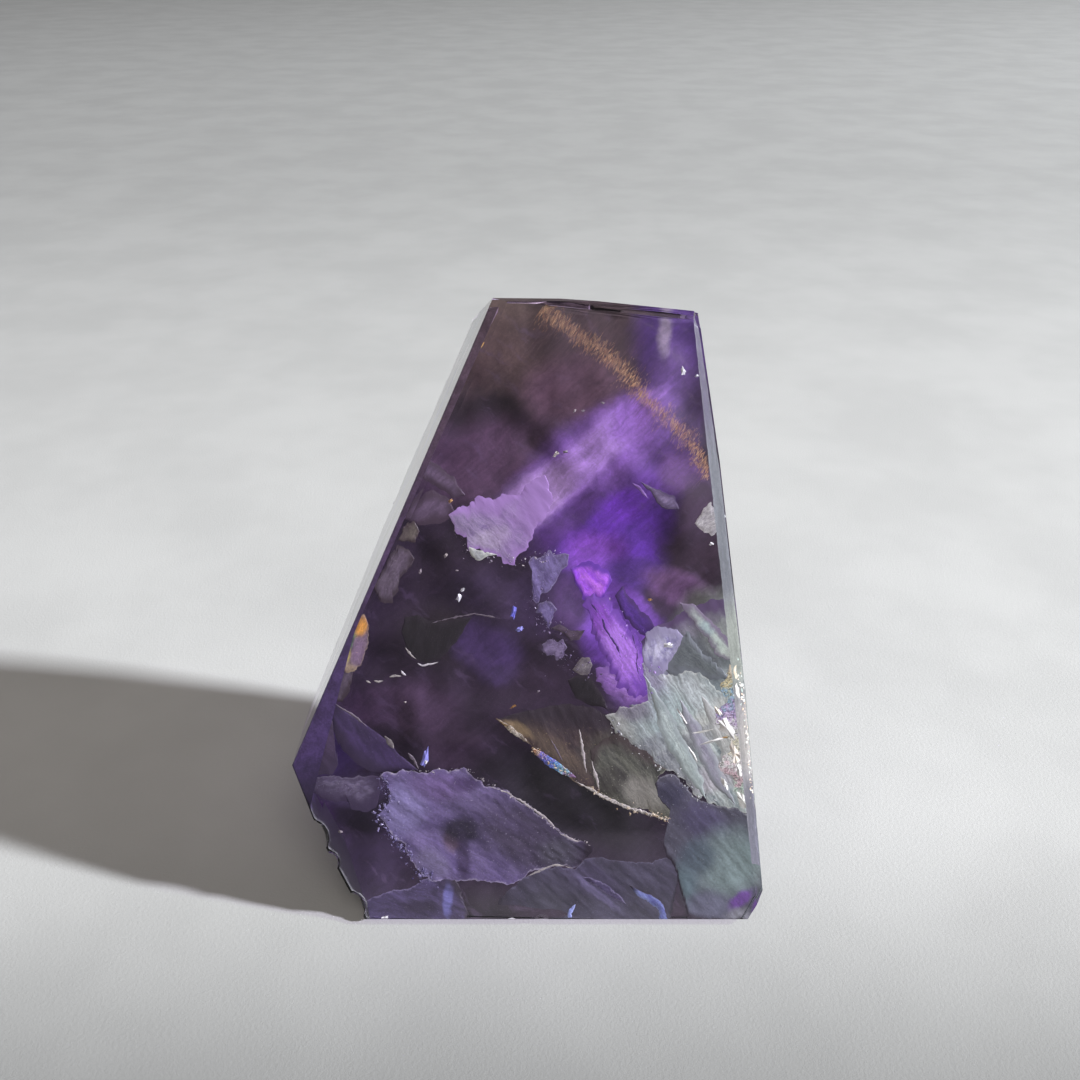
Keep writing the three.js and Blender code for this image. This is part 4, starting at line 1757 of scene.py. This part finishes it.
VEILS: tuple[Veil, ...] = (
    Veil("band_end_sheet", LILAC_WHITE,
         rail(-9.6, 55.3, -8.4, 56.3, -7, 56.5, -5.8, 57.4, -4, 57.2, -2.4, 58, -0.6, 58.2, 1, 59.6,
              2.6, 60.4),
         rail(-8.8, 53.9, -8.4, 52.9, -7.3, 52.3, -6.9, 50.8, -5.6, 51, -5, 50.4, -3.4, 50.2, -2.6, 49.2,
              -1.2, 48.8, -0.6, 50, 0.6, 51.4, 1.6, 53.8, 3.2, 55.8, 3.6, 58),
         (3.4, 4.4), fade=(0, 0.85, 0.5, 0.12), bite=0.35),
    Veil("pale_toe", GREEN_WHITE, rail(-7.1, 51.2, -6, 50.9, -4.8, 50.6, -3.4, 50.2),
         rail(-6.8, 50.2, -6, 49.4, -5.4, 49.5, -4.6, 50), (2.6, 2.8)),
    Veil("hanging_sheet", BLUE_GREY,
         rail(0.5, 49.2, 1.2, 50.1, 2, 49.9, 3.2, 50.6, 4, 50, 5.2, 50.4, 5.7, 50.2),
         rail(1, 47.5, 0.8, 46.2, 1.2, 44.2, 1.8, 43.8, 2.1, 45.2, 3, 45.2, 3.8, 46.3, 4.8, 48.3, 5.5, 48.8),
         (3, 3.4)),
    Veil("small_sheet", BLUE_GREY, rail(1.4, 42.6, 1.8, 43.8, 2.6, 44.3, 3.6, 43.8, 4.2, 43),
         rail(2.2, 42.4, 2.6, 41.4, 3.1, 40.6, 3.5, 41.6, 3.6, 42.4)),
    Veil("pale_blob", PALE_LILAC, rail(2.2, 37.6, 2.6, 38.5, 3.4, 39, 4.2, 38.8, 5, 38.9, 5.5, 38),
         rail(2.9, 36.9, 3.8, 36.9, 4.2, 36.2, 5, 36.9), bite=0.3, tooth=0.7),
    Veil("crumb_strand", BROWN_LILAC, rail(3.2, 40.6, 4.6, 41, 6, 40.3, 7.8, 40.3),
         rail(5, 39.8, 6, 38.8, 7, 39), fade=(0.3, 0.4, 0.2, 0)),
    Veil("vivid_wedge", VIVID, rail(5.9, 48.3, 6.8, 48.9, 8.2, 49.2, 9.6, 48.9, 10.6, 48.1, 11.2, 46.8),
         rail(6.4, 47.2, 6.9, 45.8, 7.4, 44.4, 8.2, 43.8, 9, 44.2, 9.8, 43.8, 10.4, 44.9), (3.6, 3.8),
         fade=(0.2, 0.3, 0.35, 0.3)),
    Veil("vivid_shade", DARK_VIOLET, rail(11.6, 44.8, 12.6, 46, 13.6, 44.4, 15, 43, 16.2, 41.7, 16.9, 40.6),
         rail(12.2, 43, 13.4, 41.6, 14.6, 40.2, 15.8, 39.6), (4.4, 4.4), fade=(0.3, 0.4, 0.4, 0.3)),
    Veil("vivid_spine", SOFT_VIOLET,
         rail(7.4, 43.6, 8.8, 45.2, 10.6, 44.4, 12, 42.8, 13.2, 41.2, 14.6, 39.6, 15.4, 37.8, 16.4, 36.2,
              16.6, 34.4, 17.2, 32.6),
         rail(8.4, 41.6, 9.1, 39.6, 9.4, 38, 10.4, 36.8, 10.6, 35.2, 11.6, 34.2, 12, 32.8, 13.6, 32.2,
              14.4, 31, 16, 31.2),
         (3.6, 3.4), bite=0.5, fade=(0.25, 0.4, 0.35, 0.3)),
    Veil("magenta_lobe", MAGENTA,
         rail(9.2, 35.2, 10.6, 35.4, 12, 34.6, 13.6, 35.4, 15, 34.8, 16.2, 33, 17.2, 31),
         rail(9.5, 33.6, 10.4, 32.6, 11, 31.4, 12.4, 31.4, 13.2, 30.2, 14.6, 30.4, 15.8, 29.6), (3.8, 3.8),
         bite=0.4, fade=(0.3, 0.35, 0.4, 0.25)),
    Veil("mint_mass", MINT_MASS,
         rail(12.6, 33, 14.4, 37.5, 16.4, 40.8, 19, 41.6, 21.4, 43.4, 24, 44.4, 26, 44.6, 27, 43.8, 28.2, 40,
              30, 32, 31.4, 22),
         rail(13.8, 30, 16, 27, 19, 23, 22, 19.6, 25, 17.4, 28, 16.2, 30.4, 15.6), (4.6, 3.4),
         fade=(0.14, 0, 0.22, 0)),
    Veil("hazy_mint_sheet", HAZY_MINT,
         rail(19.8, 44, 21.6, 43.6, 23, 42.2, 24.4, 41.4, 25.6, 39.6, 26.8, 38.4, 27.8, 36.2),
         rail(21.2, 42.2, 22.2, 40.4, 23.6, 39, 24.6, 37.2, 26, 36.4), (4, 3.2), tip=0.4, bite=0.3,
         fade=(0.4, 0, 0.5, 0.1)),
    Veil("mint_sheet", MINT,
         rail(10.5, 28.8, 14.2, 30.2, 16.8, 31, 16, 33.5, 15.4, 35.6, 16.4, 36.5, 18.4, 34.5, 21, 34.8,
              24, 33.8, 25, 32.5, 26.5, 31.5, 28.6, 31, 31, 23),
         rail(11.6, 27.3, 12.2, 26.3, 13.6, 24.9, 15.6, 24, 17, 22.6, 18.6, 21.2, 20.6, 20.4, 21.8, 18.8,
              23.2, 17, 23.8, 18, 24.4, 16.6, 26.4, 16.3, 28, 15.9, 29.2, 15.2, 30.2, 15.3),
         (3.6, 2.6), bite=0.35),
    Veil("mint_blade_left", MINT_BLADE,
         rail(15.3, 34.6, 17.6, 31.4, 19.8, 27.8, 21.6, 24, 23.6, 19.8, 24, 17.2),
         rail(16.6, 31, 17.6, 27.4, 19, 24, 21, 20.8), (2.8, 2.2)),
    Veil("mint_blade_middle", LILAC_BLADE, rail(20.2, 31, 22.6, 28, 24.6, 24, 26.4, 20, 27.9, 16.4),
         rail(21, 27.4, 22.6, 23.6, 24.6, 19.8), (2.6, 2)),
    Veil("mint_blade_right", WHITE_BLADE, rail(23, 31.5, 26.2, 28.4, 27.8, 24, 29.6, 19, 29.8, 15.8),
         rail(24.4, 27, 26.4, 22, 28, 18), (2.4, 1.4)),
    Veil("shaded_facet", SHADED_MINT,
         rail(17.8, 35.6, 19.6, 38, 21, 40, 22, 38.6, 23.6, 37.2, 25, 35.6, 26.8, 33.6),
         rail(19.4, 34, 21.4, 34.2, 24, 33.6), (3.2, 3.2), bite=0.35, fade=(0.4, 0.3, 0.3, 0.5)),
    Veil("pale_blue_lobe", BLUE_WHITE, rail(15.2, 37.6, 15.8, 39.8, 17, 41, 18.4, 40.6, 19.8, 40.4, 20.8, 39),
         rail(15.4, 35.8, 16.6, 34.4, 18, 34.2, 19, 35.6, 20, 37), (3, 3.2), bite=0.35,
         fade=(0.4, 0.4, 0.5, 0.45)),
    Veil("brown_wedge", BROWN, rail(-3.7, 28.3, -1.5, 28.9, 1.5, 29.6, 5, 30.2, 9, 30, 11, 28.8, 12.2, 26.8),
         rail(-1.4, 26.6, 0.5, 25, 1.9, 23.4, 4, 22, 5.8, 20.4, 7.6, 19, 9.6, 18.1, 11.4, 21.5, 12, 24.5),
         (3.2, 3.4), tip=0.7, fade=(0, 0.25, 0.6, 0)),
    Veil("grey_green_sheet", GREY_GREEN,
         rail(8.6, 24, 10.4, 25.6, 12.4, 26.2, 13.6, 25, 15.6, 24, 17.4, 22.4, 18.7, 21.4),
         rail(9.4, 18.2, 11.6, 17, 13.6, 16.1, 15.5, 15.8, 17.6, 14.9, 19.4, 14.1, 19.6, 14.9, 18.7, 16.2,
              17.4, 17.3, 17.1, 18.6, 16.6, 19.4, 17.6, 20.1),
         (3.2, 3), bite=0.3, fade=(0.25, 0, 0.35, 0)),
    Veil("lilac_grey_sheet", LILAC_GREY,
         rail(-19.2, 20.4, -18.6, 20.9, -16, 21.1, -14, 21, -12.8, 20.6, -11.6, 21.2, -10, 21.1, -8, 21.7,
              -6.6, 20.4, -5.2, 19.3, -3.6, 18.6, -2.4, 18.3, -1, 17.3, 1, 16, 3, 14.5, 4.8, 12.3, 7, 11.3,
              9, 10.6, 9.1, 9.9),
         rail(-18.2, 19.4, -17.9, 18, -18, 16.4, -19.5, 15, -18.4, 13.4, -17.6, 12.2, -16.3, 11, -15.9, 9.6,
              -15.2, 8.6, -14.4, 7.2, -13.5, 6.1, -12.4, 5.5, -9, 5.6, -6.6, 5.6, -3.6, 5.3, -1.6, 5.2,
              0, 6.2, 2.2, 7.2, 4.2, 8, 6, 7.4, 7.6, 8.1),
         (2.6, 3.4), bite=0.3, ripple=0.15, fade=(0, 0.15, 0, 0)),
    Veil("foot_violet_sheet", FOOT_VIOLET,
         rail(-22.3, 2.2, -20.4, 3.3, -18, 4, -16, 4.4, -14.4, 5.2, -13, 5.9, -11.5, 5.9, -9.4, 5.7, -9, 5.1),
         rail(-21, 0, -19, -1, -15, -1, -11, -1, -8, -1, -7.8, 1, -8.4, 3), (1.6, 1.8),
         fade=(0, 0.3, 0, 0.15), inset=0.06, tip=1.4),
    Veil("foot_slate_sheet", FOOT_SLATE,
         rail(-4.4, 0.6, -3.4, 2.8, -1.6, 4.8, 0.4, 6.3, 2.2, 7.1, 4.2, 7.8, 5, 7.4, 6.6, 7.2, 8, 8.6, 10, 9,
              12, 8.5, 14.5, 8.3, 17, 8.1, 18.8, 9, 20.2, 9.6),
         rail(-4.2, -1, 2, -1, 10, -1, 19.6, -1, 20, 3, 20.6, 7), (1.6, 1.7), fade=(0.25, 0.1, 0, 0.1),
         inset=0.06, tip=1.8),
    Veil("blue_glow", BLUE_GLOW, rail(13.9, 5, 15.5, 4.2, 17.4, 3.4, 18.8, 2.2, 19.2, 0.8, 19.8, -0.8),
         rail(15.4, 3.4, 16.8, 2.4, 17.9, 1.2, 18.1, -0.2), (2.4, 1.2), fade=(0.3, 0.1, 0.3, 0), inset=0.06),
    Veil("slate_sheet", SLATE,
         rail(17.2, 19.4, 17.8, 20.3, 19.2, 20.7, 20.4, 20.2, 21.4, 18.8, 22.6, 17.4, 24.4, 16.4, 26.6, 16.2,
              28.4, 15.8, 29.6, 15, 31.5, 14),
         rail(17.6, 17.6, 18.9, 16.2, 19.6, 14.8, 19.6, 13, 18.6, 11, 18.8, 9.2, 20, 8, 21, 4, 22, 0, 26, -1,
              30, -0.6, 32.5, 3),
         (1.8, 1.7), fade=(0.05, 0, 0, 0.1), inset=0.06, tip=1.6),
    Veil("left_grey_veil", GREY_LILAC,
         rail(-29.4, 20.3, -28, 19.7, -26.8, 20.2, -24.5, 20.4, -22.4, 20.2, -20.4, 20.5, -19.2, 20.3),
         rail(-28.4, 18.2, -27, 17.6, -25, 16.8, -23.4, 16.9, -23, 15.8, -21, 15.4, -19.8, 16.2, -19, 18.4),
         (2.2, 3.2), fade=(0.05, 0.35, 0, 0.75)),
    Veil("indigo_facet", INDIGO,
         rail(-25.2, 30.6, -24.2, 30.2, -22.8, 29, -21.2, 27.8, -19.6, 26.6, -18, 25.4, -17, 24, -15.6, 22.6,
              -14, 21.2),
         rail(-25, 27, -24, 24, -22, 22, -20, 21, -17, 21.1), (2.6, 3.6), bite=0.08, fade=(0.3, 0.1, 0, 0.6)),
    Veil("plum_facet", PLUM, rail(-31, 20, -29, 26, -27, 31, -25.4, 30.5, -24.8, 25.5),
         rail(-28, 20.4, -25.5, 20.6, -24.6, 22), (2, 2.4), bite=0.1, fade=(0, 0.3, 0, 0.4)),
    Veil("left_band", BEVEL_LILAC, rail(-25.4, 30.6, -24.6, 34, -23, 36, -22.2, 34.6),
         rail(-23.6, 30.4, -22.6, 32), (1.5, 1.6), fade=(0.3, 0.2, 0.2, 0.4)),
    Veil("bevel_patch", BEVEL_LILAC,
         rail(-19.2, 46, -17.8, 48, -16.6, 50.4, -15.8, 51.4, -14.8, 51, -14, 49.6),
         rail(-18.6, 44, -17, 43.8, -16.4, 45, -16, 47, -14.6, 48.6), (1.2, 1.8), fade=(0.3, 0.3, 0.2, 0.3)),
    Veil("olive_patch", OLIVE, rail(-16, 51.9, -14.8, 54, -13.8, 54.6, -13.3, 53.2),
         rail(-14.8, 51.9, -13.8, 51.6), (1.1, 1.4), fade=(0.3, 0.3, 0.3, 0.3)),
    Veil("grey_haze", HAZE, rail(-15, 54.6, -13.4, 57, -11.6, 58.6, -9.6, 57.4, -8.8, 55.6),
         rail(-13.4, 54, -11.6, 54, -10, 54.2), (3.6, 4.4), fade=(0.4, 0.4, 0.5, 0.5)),
    Veil("lilac_haze", HAZE, rail(-13.4, 61, -12.4, 62.8, -10.6, 61.6, -8.8, 60, -7.4, 57.8),
         rail(-12, 59.6, -10.4, 58.4, -9, 57.4), (3.4, 4.4), fade=(0.4, 0.4, 0.5, 0.5)),
    Veil("black_plate", BLACK,
         rail(-15.9, 40, -15.4, 42, -13.8, 42.4, -12.4, 41.6, -10.4, 41.4, -8.6, 41.8, -6.8, 42),
         rail(-15.2, 38, -14.2, 36.3, -12.6, 35.9, -11, 36.4, -10, 37.4, -8.6, 39), (4, 4), bite=0.1),
    Veil("black_lobe", BLACK, rail(5.6, 33.6, 7, 34.4, 8.6, 34, 9.2, 32.8, 10.3, 31.4, 10.8, 29.6),
         rail(6.6, 31.2, 8.4, 30.2, 10.2, 29.9), (4.6, 4.2), bite=0.1, fade=(0.2, 0.3, 0.3, 0)),
    Veil("crumb", CRUMB, rail(6.2, 35, 7.4, 36.6, 8.4, 36.6, 8.8, 35.6), rail(7.2, 34.3, 8.2, 34.2)),
    Veil("right_flake", SNOW, rail(21.6, 54.2, 22.4, 55.8, 23.6, 57, 24.4, 55.5, 24.8, 54.2),
         rail(22.6, 53.3, 23.8, 52.7, 24.4, 53.2), (1.2, 1)),
    Veil("lilac_streak", PALE_LILAC, rail(14.6, 59.6, 15.8, 59, 17.6, 58.3, 19, 57.6, 19.6, 56),
         rail(16, 58.2, 16.9, 56.6, 18, 56), (4.2, 4.2), fade=(0.3, 0.3, 0.4, 0.2)),
    Veil("edge_glint", EDGE_GLINT_SHEEN, rail(27, 34.6, 27.2, 35.7, 28.4, 35.6, 28.6, 34.4), rail(27.8, 33.6), (0.8, 0.6)),
    Veil("edge_glint_film", EDGE_GLINT_SHEEN, rail(26.6, 35.6, 28.6, 34, 29.4, 29, 30.6, 22, 31.4, 15.4),
         rail(25.8, 33, 26.8, 31.4, 25, 29.6, 24.6, 27.6, 26.4, 26, 26.8, 23.6, 26, 21.8, 27.6, 19.8,
              28.4, 17.8),
         (1, 0.6), bite=0.7, tooth=1.8),
    Veil("fire_sheen_spot", FIRE_SHEEN,
         rail(-23.9, 35.2, -23.3, 37, -22.6, 38.8, -22, 40.8, -21.2, 42.1, -20.5, 42.2, -20, 41),
         rail(-23, 34.4, -21.8, 34.6, -21, 36, -20.6, 37.8, -20.2, 39.4), (1, 1.4), bite=0.35),
    Veil("frost_and_light_strip", FROST_AND_LIGHT, rail(21.4, 80.2, 25, 62, 28.2, 45, 31, 28, 33.5, 14, 34, 7),
         rail(20.9, 79, 24, 56, 27.2, 32, 30.4, 8), (0.2, 0.2), bite=0.05, ripple=0, inset=0.2, swell=0.03),
    ribbon("gold_sheen_rim_left", GOLD_SHEEN, rail(-3.8, 28.4, -1.4, 26.6, 0.6, 24.9), 0.7),
    ribbon("spectrum_sheen_rim", SPECTRUM_SHEEN, rail(0.8, 24.4, 2.4, 23, 4.4, 21.6, 6.8, 20.2), 1.2, (2.6, 2.6)),
    ribbon(
        "gold_sheen_rim_middle", GOLD_SHEEN, rail(6.6, 19.8, 9.6, 18, 13, 16.2, 16.2, 15.2, 19.2, 14.2), 0.5,
        (2.6, 2.6)),
    ribbon("streak_long", THREAD, rail(7.1, 27, 7.6, 24, 8.1, 20.8), 0.45, (2.6, 2.6)),
    ribbon("streak_short", THREAD, rail(8.8, 22.6, 9.3, 20.6, 9.8, 18.6), 0.32, (2.4, 2.4)),
    ribbon("streak_fine", DIM_THREAD, rail(3.4, 25.5, 4.2, 24, 5, 22.5), 0.2, (2.8, 2.8)),
    ribbon("sheet_rim", THREAD, rail(-5.2, 19.2, -2.4, 18.2, 1, 15.9, 3, 14.4, 4.8, 12.2), 0.22, (2.6, 3.2)),
    ribbon("sheet_rim_low", THREAD, rail(4.6, 12.3, 7, 11.2, 9.1, 10.4), 0.3, (3.2, 3.6)),
    ribbon("foot_rim", THREAD, rail(0.2, 6.2, 2.2, 7.1, 4.2, 7.9, 6.4, 7.4), 0.25, (2.4, 2.4)),
    ribbon("glow_streak_left", FOOT_VIOLET, rail(7.6, 6.2, 10.4, 4.8, 13.6, 2.2), 1, (2.2, 1.6)),
    ribbon("glow_streak_foot", BLUE_GLOW, rail(6.8, 2.2, 6, 0.8, 5.8, -0.8), 0.5, (1.6, 1.2)),
    ribbon("crack_1", THREAD, rail(-20.6, 33.5, -20, 33.2), 0.25),
    ribbon("crack_2", THREAD, rail(-19.6, 33.5, -19, 33.4, -18.4, 33.5), 0.25),
    ribbon("crack_3", THREAD, rail(-17.6, 34, -16.8, 34.2, -16, 34.1), 0.25),
    ribbon("crack_4", SNOW, rail(-16, 34.9, -15.8, 34.5, -15.4, 34.2), 0.3),
    ribbon("crack_5", SNOW, rail(-13.9, 35.9, -13.2, 35.5, -12.4, 35.7, -11.2, 36), 0.3),
    ribbon("crack_6", THREAD, rail(-15.4, 38, -14.8, 37, -14, 36.4), 0.2),
    ribbon("facet_edge", DIM_THREAD, rail(-24.6, 30.3, -22.4, 28.8, -20.6, 27.2), 0.3),
    ribbon("facet_edge_low", DIM_THREAD, rail(-15.4, 23.7, -14.6, 22.6, -14, 21.4), 0.35),
    ribbon("facet_crumb", CRUMB, rail(-18.4, 26, -17.8, 25.2, -17.2, 24.2), 0.6),
    ribbon("thin_arc", DIM_THREAD, rail(-12, 41.2, -9, 42, -6.5, 42.5, -3, 41.8), 0.18),
    ribbon(
        "spine_crack", DARK_VIOLET, rail(8.4, 44, 9.8, 42.2, 10.6, 40, 12, 38.2, 12.6, 36), 0.18, (3.2, 3.2)),
    ribbon("spine_crack_low", DARK_VIOLET, rail(13.8, 40, 14.6, 37.6, 14.4, 35.4, 15.4, 33.4), 0.15, (3, 3)),
    ribbon("pink_streak", MAGENTA, rail(13.6, 59.4, 14.6, 58.6, 15.6, 57.4), 0.35, (4.6, 4.6)))

LOOSE_FLAKES: tuple[Flakes, ...] = (
    Flakes("band_end_crumbs",
           strewn(rail(-8.8, 53.4, -6.9, 50.8, -2.6, 49.2, 1, 49.8, 5, 50.4), 90, 0.5, (0.03, 0.2), 1),
           ((116, 102, 134), (206, 200, 202)), 2.6),
    Flakes("lilac_edge_crumbs",
           strewn(rail(-19, 20.5, -18, 17, -19.5, 15, -17.6, 12, -15.9, 9.6, -14.4, 7.2, -12.4, 5.6), 260,
                  0.5, (0.05, 0.34), 2),
           ((72, 64, 102), (146, 138, 176)), 2.3),
    Flakes("sheet_edge_crumbs",
           strewn(rail(-18.6, 20.9, -12, 21, -8, 21.6, -3.6, 18.6, 1, 16, 4.8, 12.3, 9, 10.8), 120, 0.15,
                  (0.04, 0.18), 3),
           ((140, 134, 150), (220, 214, 206)), 2.2),
    Flakes("wedge_edge_crumbs",
           strewn(rail(0.6, 24.6, 4.4, 21.6, 9.6, 18, 13, 16.3, 16.2, 15.2, 19.2, 14.2), 150, 0.3,
                  (0.05, 0.26), 4),
           ((150, 128, 92), (232, 222, 204)), 2.2),
    Flakes("spine_crumbs",
           strewn(rail(10.4, 43, 12.6, 40.8, 14.4, 38, 15.8, 35.4, 16.2, 32.6), 80, 0.9, (0.03, 0.2), 5),
           ((126, 88, 178), (196, 168, 222)), 2.6),
    Flakes("mint_edge_crumbs",
           strewn(rail(10.5, 28.8, 12.2, 26.3, 15.6, 24, 18.6, 21.2, 21.8, 18.8, 24.4, 16.6, 30, 15.4), 110,
                  0.6, (0.03, 0.24), 6),
           ((122, 124, 134), (214, 216, 210)), 2.2),
    Flakes("middle_crumbs",
           strewn(rail(1.4, 44.4, 3, 41, 4.6, 38, 6.4, 36, 8, 34.4), 130, 1.1, (0.03, 0.26), 7),
           ((70, 58, 88), (142, 128, 156)), 2.6),
    # painted glints: bright white specks and patches where the light catches the right edge's cleavages
    Flakes("edge_sparkles",
           strewn(rail(27.4, 35, 28.4, 31, 29.4, 26, 30.2, 21, 31, 16.5), 260, 0.7, (0.03, 0.3), 8),
           ((196, 214, 206), (250, 250, 246), (232, 196, 150), (250, 250, 250)), 0.8),
    Flakes("edge_glint_patches",
           ((27.2, 34.6, 1.1, 0.6, -75), (27.6, 32, 1, 0.45, -75), (26.5, 27, 1.7, 0.8, -55),
            (27.6, 23.6, 1.5, 0.55, -75), (28.3, 21.2, 1, 0.4, -75), (28.9, 17, 1.3, 0.6, -55),
            (24.6, 25.3, 1.4, 0.18, 18), (23.4, 26.6, 1.5, 0.14, 12), (25.2, 29.4, 0.8, 0.3, -50),
            (22.2, 23.4, 1.2, 0.14, -60), (20.6, 28.6, 1.4, 0.14, -56), (26.4, 19.4, 0.9, 0.3, -60)),
           ((222, 222, 214), (252, 252, 248), (240, 224, 196), (252, 252, 252)), 0.45),
    # partly painted glints: some of these white flakes are light caught on small cleavages, the rest pale
    # specks
    Flakes("white_flakes_and_glints",
           ((-8.4, 44.6, 0.55, 0.32, 70), (-7.9, 45.6, 0.32, 0.2, 40), (19.7, 73.3, 0.55, 0.3, 100),
            (21.4, 72.7, 0.25, 0.16, 20), (18.6, 38.3, 0.7, 0.4, 10), (-19, 0.2, 0.5, 0.3, 30),
            (-1.8, -0.4, 0.45, 0.25, 0), (24.6, 56.6, 0.35, 0.2, 60), (25.2, 55, 0.3, 0.2, 80),
            (23.8, 51.6, 0.3, 0.2, 10), (-13, 22.4, 0.3, 0.2, 80)),
           ((206, 206, 216), (246, 246, 246))),
    Flakes("blue_flakes",
           ((-1.4, 42.7, 0.9, 0.35, 80), (-0.6, 40.4, 0.5, 0.3, 30), (-13.1, 23, 1.4, 0.45, 75)),
           ((96, 96, 200), (160, 160, 232)), 2.5),
    Flakes("gold_flakes",
           ((-9.3, 57.1, 0.35, 0.2, 40), (-5.1, 76.4, 0.5, 0.2, 50), (16.1, 44.3, 0.3, 0.2, 0),
            (-1.5, 30, 0.45, 0.15, 30), (-12.6, 68.4, 0.25, 0.15, 60), (26.6, 25.8, 0.7, 0.15, 5)),
           ((150, 110, 66), (226, 184, 120)), 1.2),
    Flakes("pale_specks",
           ((-10, 50.1, 0.35, 0.2, 50), (-8.6, 48.1, 0.2, 0.12, 0), (-13.3, 48, 0.35, 0.2, 70),
            (4, 63, 0.45, 0.25, 40), (5.2, 63.3, 0.35, 0.2, 20), (9.8, 69.4, 0.25, 0.15, 0),
            (6.3, 68.4, 0.25, 0.15, 60), (7.4, 68.4, 0.25, 0.15, 10), (-15.6, 30.6, 0.2, 0.12, 0),
            (1.8, 32.1, 0.2, 0.12, 30), (-17, 48.6, 0.3, 0.2, 45), (-24.6, 12.6, 0.3, 0.2, 0)),
           ((128, 118, 128), (190, 182, 178)), 1.6))

GLINT_STREAK_PATH: tuple[Spot, ...] = rail(2.2, 80.8, 6, 78.1, 9.8, 75.6, 12.6, 73.1, 14.8, 70, 17.9, 67.5,
                                     21, 64.4, 23.4, 60)

# painted highlight: the scratches' tones are the glint of the light along the streak
STROKES: tuple[Strokes, ...] = (
    Strokes("bright_scratch_glints", GLINT_STREAK_PATH, 2700, 0.85, 60,
            ((118, 82, 66), (188, 132, 96), (255, 214, 164), (196, 140, 112)), (0.2, 0.85), (0.011, 0.03)),
    Strokes("crossing_scratch_glints", GLINT_STREAK_PATH, 900, 1, -48, ((92, 64, 62), (138, 98, 80), (180, 136, 106)),
            (0.15, 0.6), (0.006, 0.016), seed=6),
    Strokes("faint_scratch_glints", GLINT_STREAK_PATH, 1700, 2.6, 52, ((66, 48, 58), (92, 70, 76), (116, 90, 88)),
            (0.6, 2.4), (0.005, 0.012), seed=7))

BANDS = (
    (38, 34, 46), (84, 72, 116), (44, 32, 52), (112, 98, 142), (36, 27, 42), (78, 50, 120), (54, 40, 62),
    (104, 66, 172), (150, 122, 192), (62, 44, 72), (88, 70, 74), (102, 86, 86), (76, 50, 112), (50, 38, 56))

# partly painted shade: the low bands are near black, standing for the shade on the unlit left side; the high
# ones are the stone's lilac
LEFT_SHADE_BANDS = (
    (22, 16, 28), (16, 12, 20), (14, 10, 17), (12, 9, 15), (12, 9, 15), (13, 10, 17), (14, 10, 18),
    (24, 17, 32), (98, 74, 144), (108, 84, 150), (120, 94, 146), (126, 100, 134), (122, 98, 122),
    (128, 104, 122), (138, 114, 126))

REAR_BANDS = (
    (60, 50, 84), (140, 126, 180), (50, 38, 66), (170, 156, 200), (40, 30, 52), (112, 72, 180), (60, 44, 76),
    (136, 90, 210), (206, 188, 232), (70, 52, 92), (104, 86, 106), (150, 134, 150), (96, 66, 150),
    (60, 46, 76))

SIDE_SHEETS: tuple[SideSheet, ...] = (
    SideSheet(
        "left_border", BandFinish("border_shade_bands", LEFT_SHADE_BANDS), Side.LEFT, 0.5, 0.15, 0.05, 9.8, 0, 48,
        seed=41),
    SideSheet("left_growth", BandFinish("left_bands", REAR_BANDS, light=0.5), Side.LEFT, 7.1, seed=45),
    SideSheet("right_growth", BandFinish("right_bands", BANDS, light=1.7), Side.RIGHT, 7.1, seed=52),
    SideSheet("rear_growth", BandFinish("rear_bands", REAR_BANDS, light=0.5), Side.BACK, 11, lean=0, seed=63))

FLANK_VEIL = VeilFinish(
    "flank_violet", (70, 50, 112), (124, 96, 170), (170, 152, 196), 1.5, 1.2, 3, 40, dusk=(72, 54, 104),
    soft=0.9)

FLANK_VEILS: tuple[FlankVeils, ...] = (
    FlankVeils("rear_violet_veils", FLANK_VEIL, 7, 3),
    FlankVeils("rear_lilac_veils",
               replace(FLANK_VEIL, name="flank_lilac", deep=(84, 74, 108), pale=(140, 130, 160), lie=-50), 6,
               14),
    FlankVeils("rear_mint_veils",
               replace(FLANK_VEIL, name="flank_mint", deep=(80, 78, 104), pale=(126, 128, 152), lie=-30), 3,
               25),
    FlankVeils("rear_plum_veils",
               replace(FLANK_VEIL, name="flank_plum", deep=(44, 32, 54), pale=(76, 58, 88), lie=10), 5, 36),
    FlankVeils("right_lilac_veils",
               replace(FLANK_VEIL, name="right_lilac", deep=(62, 50, 84), pale=(96, 82, 122), lie=-50), 5, 47,
               light=1.6, way=(0.99, 0.1, 0.05)))


def main() -> None:
    """Dresses the solid, fills it, opens the studio and reports each piece."""
    logging.basicConfig(level=logging.INFO, format="%(name)s: %(message)s")
    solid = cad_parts[STONE]
    low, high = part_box(STONE)
    finish = StoneFinish()
    stone = Stone(PolishedFace(low.y / MM, bending=finish.bending), Walls(solid), finish)
    solid.data.materials.clear()
    solid.data.materials.append(finish.material(stone.face))
    log.info("%s: dressed in %s", STONE, finish.name)

    fit_out(GROWTH.build(stone), GROWTH.material(stone))
    dressed: dict[str, Material] = {}
    for seed, veil in enumerate(VEILS):
        if veil.finish.name not in dressed:
            dressed[veil.finish.name] = veil.finish.material(stone)
        fit_out(veil.build(stone, 100 + 7 * seed), dressed[veil.finish.name], False)
    for sheet in SIDE_SHEETS:
        fit_out(sheet.build(stone), sheet.finish.material(stone))
    for veils in FLANK_VEILS:
        shaded = replace(stone, light=stone.light * veils.light)
        fit_out(veils.build(stone), veils.finish.material(shaded))
    for flakes in LOOSE_FLAKES:
        fit_out(flakes.build(stone), flakes.material(stone), False)
    for strokes in STROKES:
        fit_out(strokes.build(stone), strokes.material(stone), False)

    Studio().open((low + high) / 2)


if __name__ == "__main__":
    main()
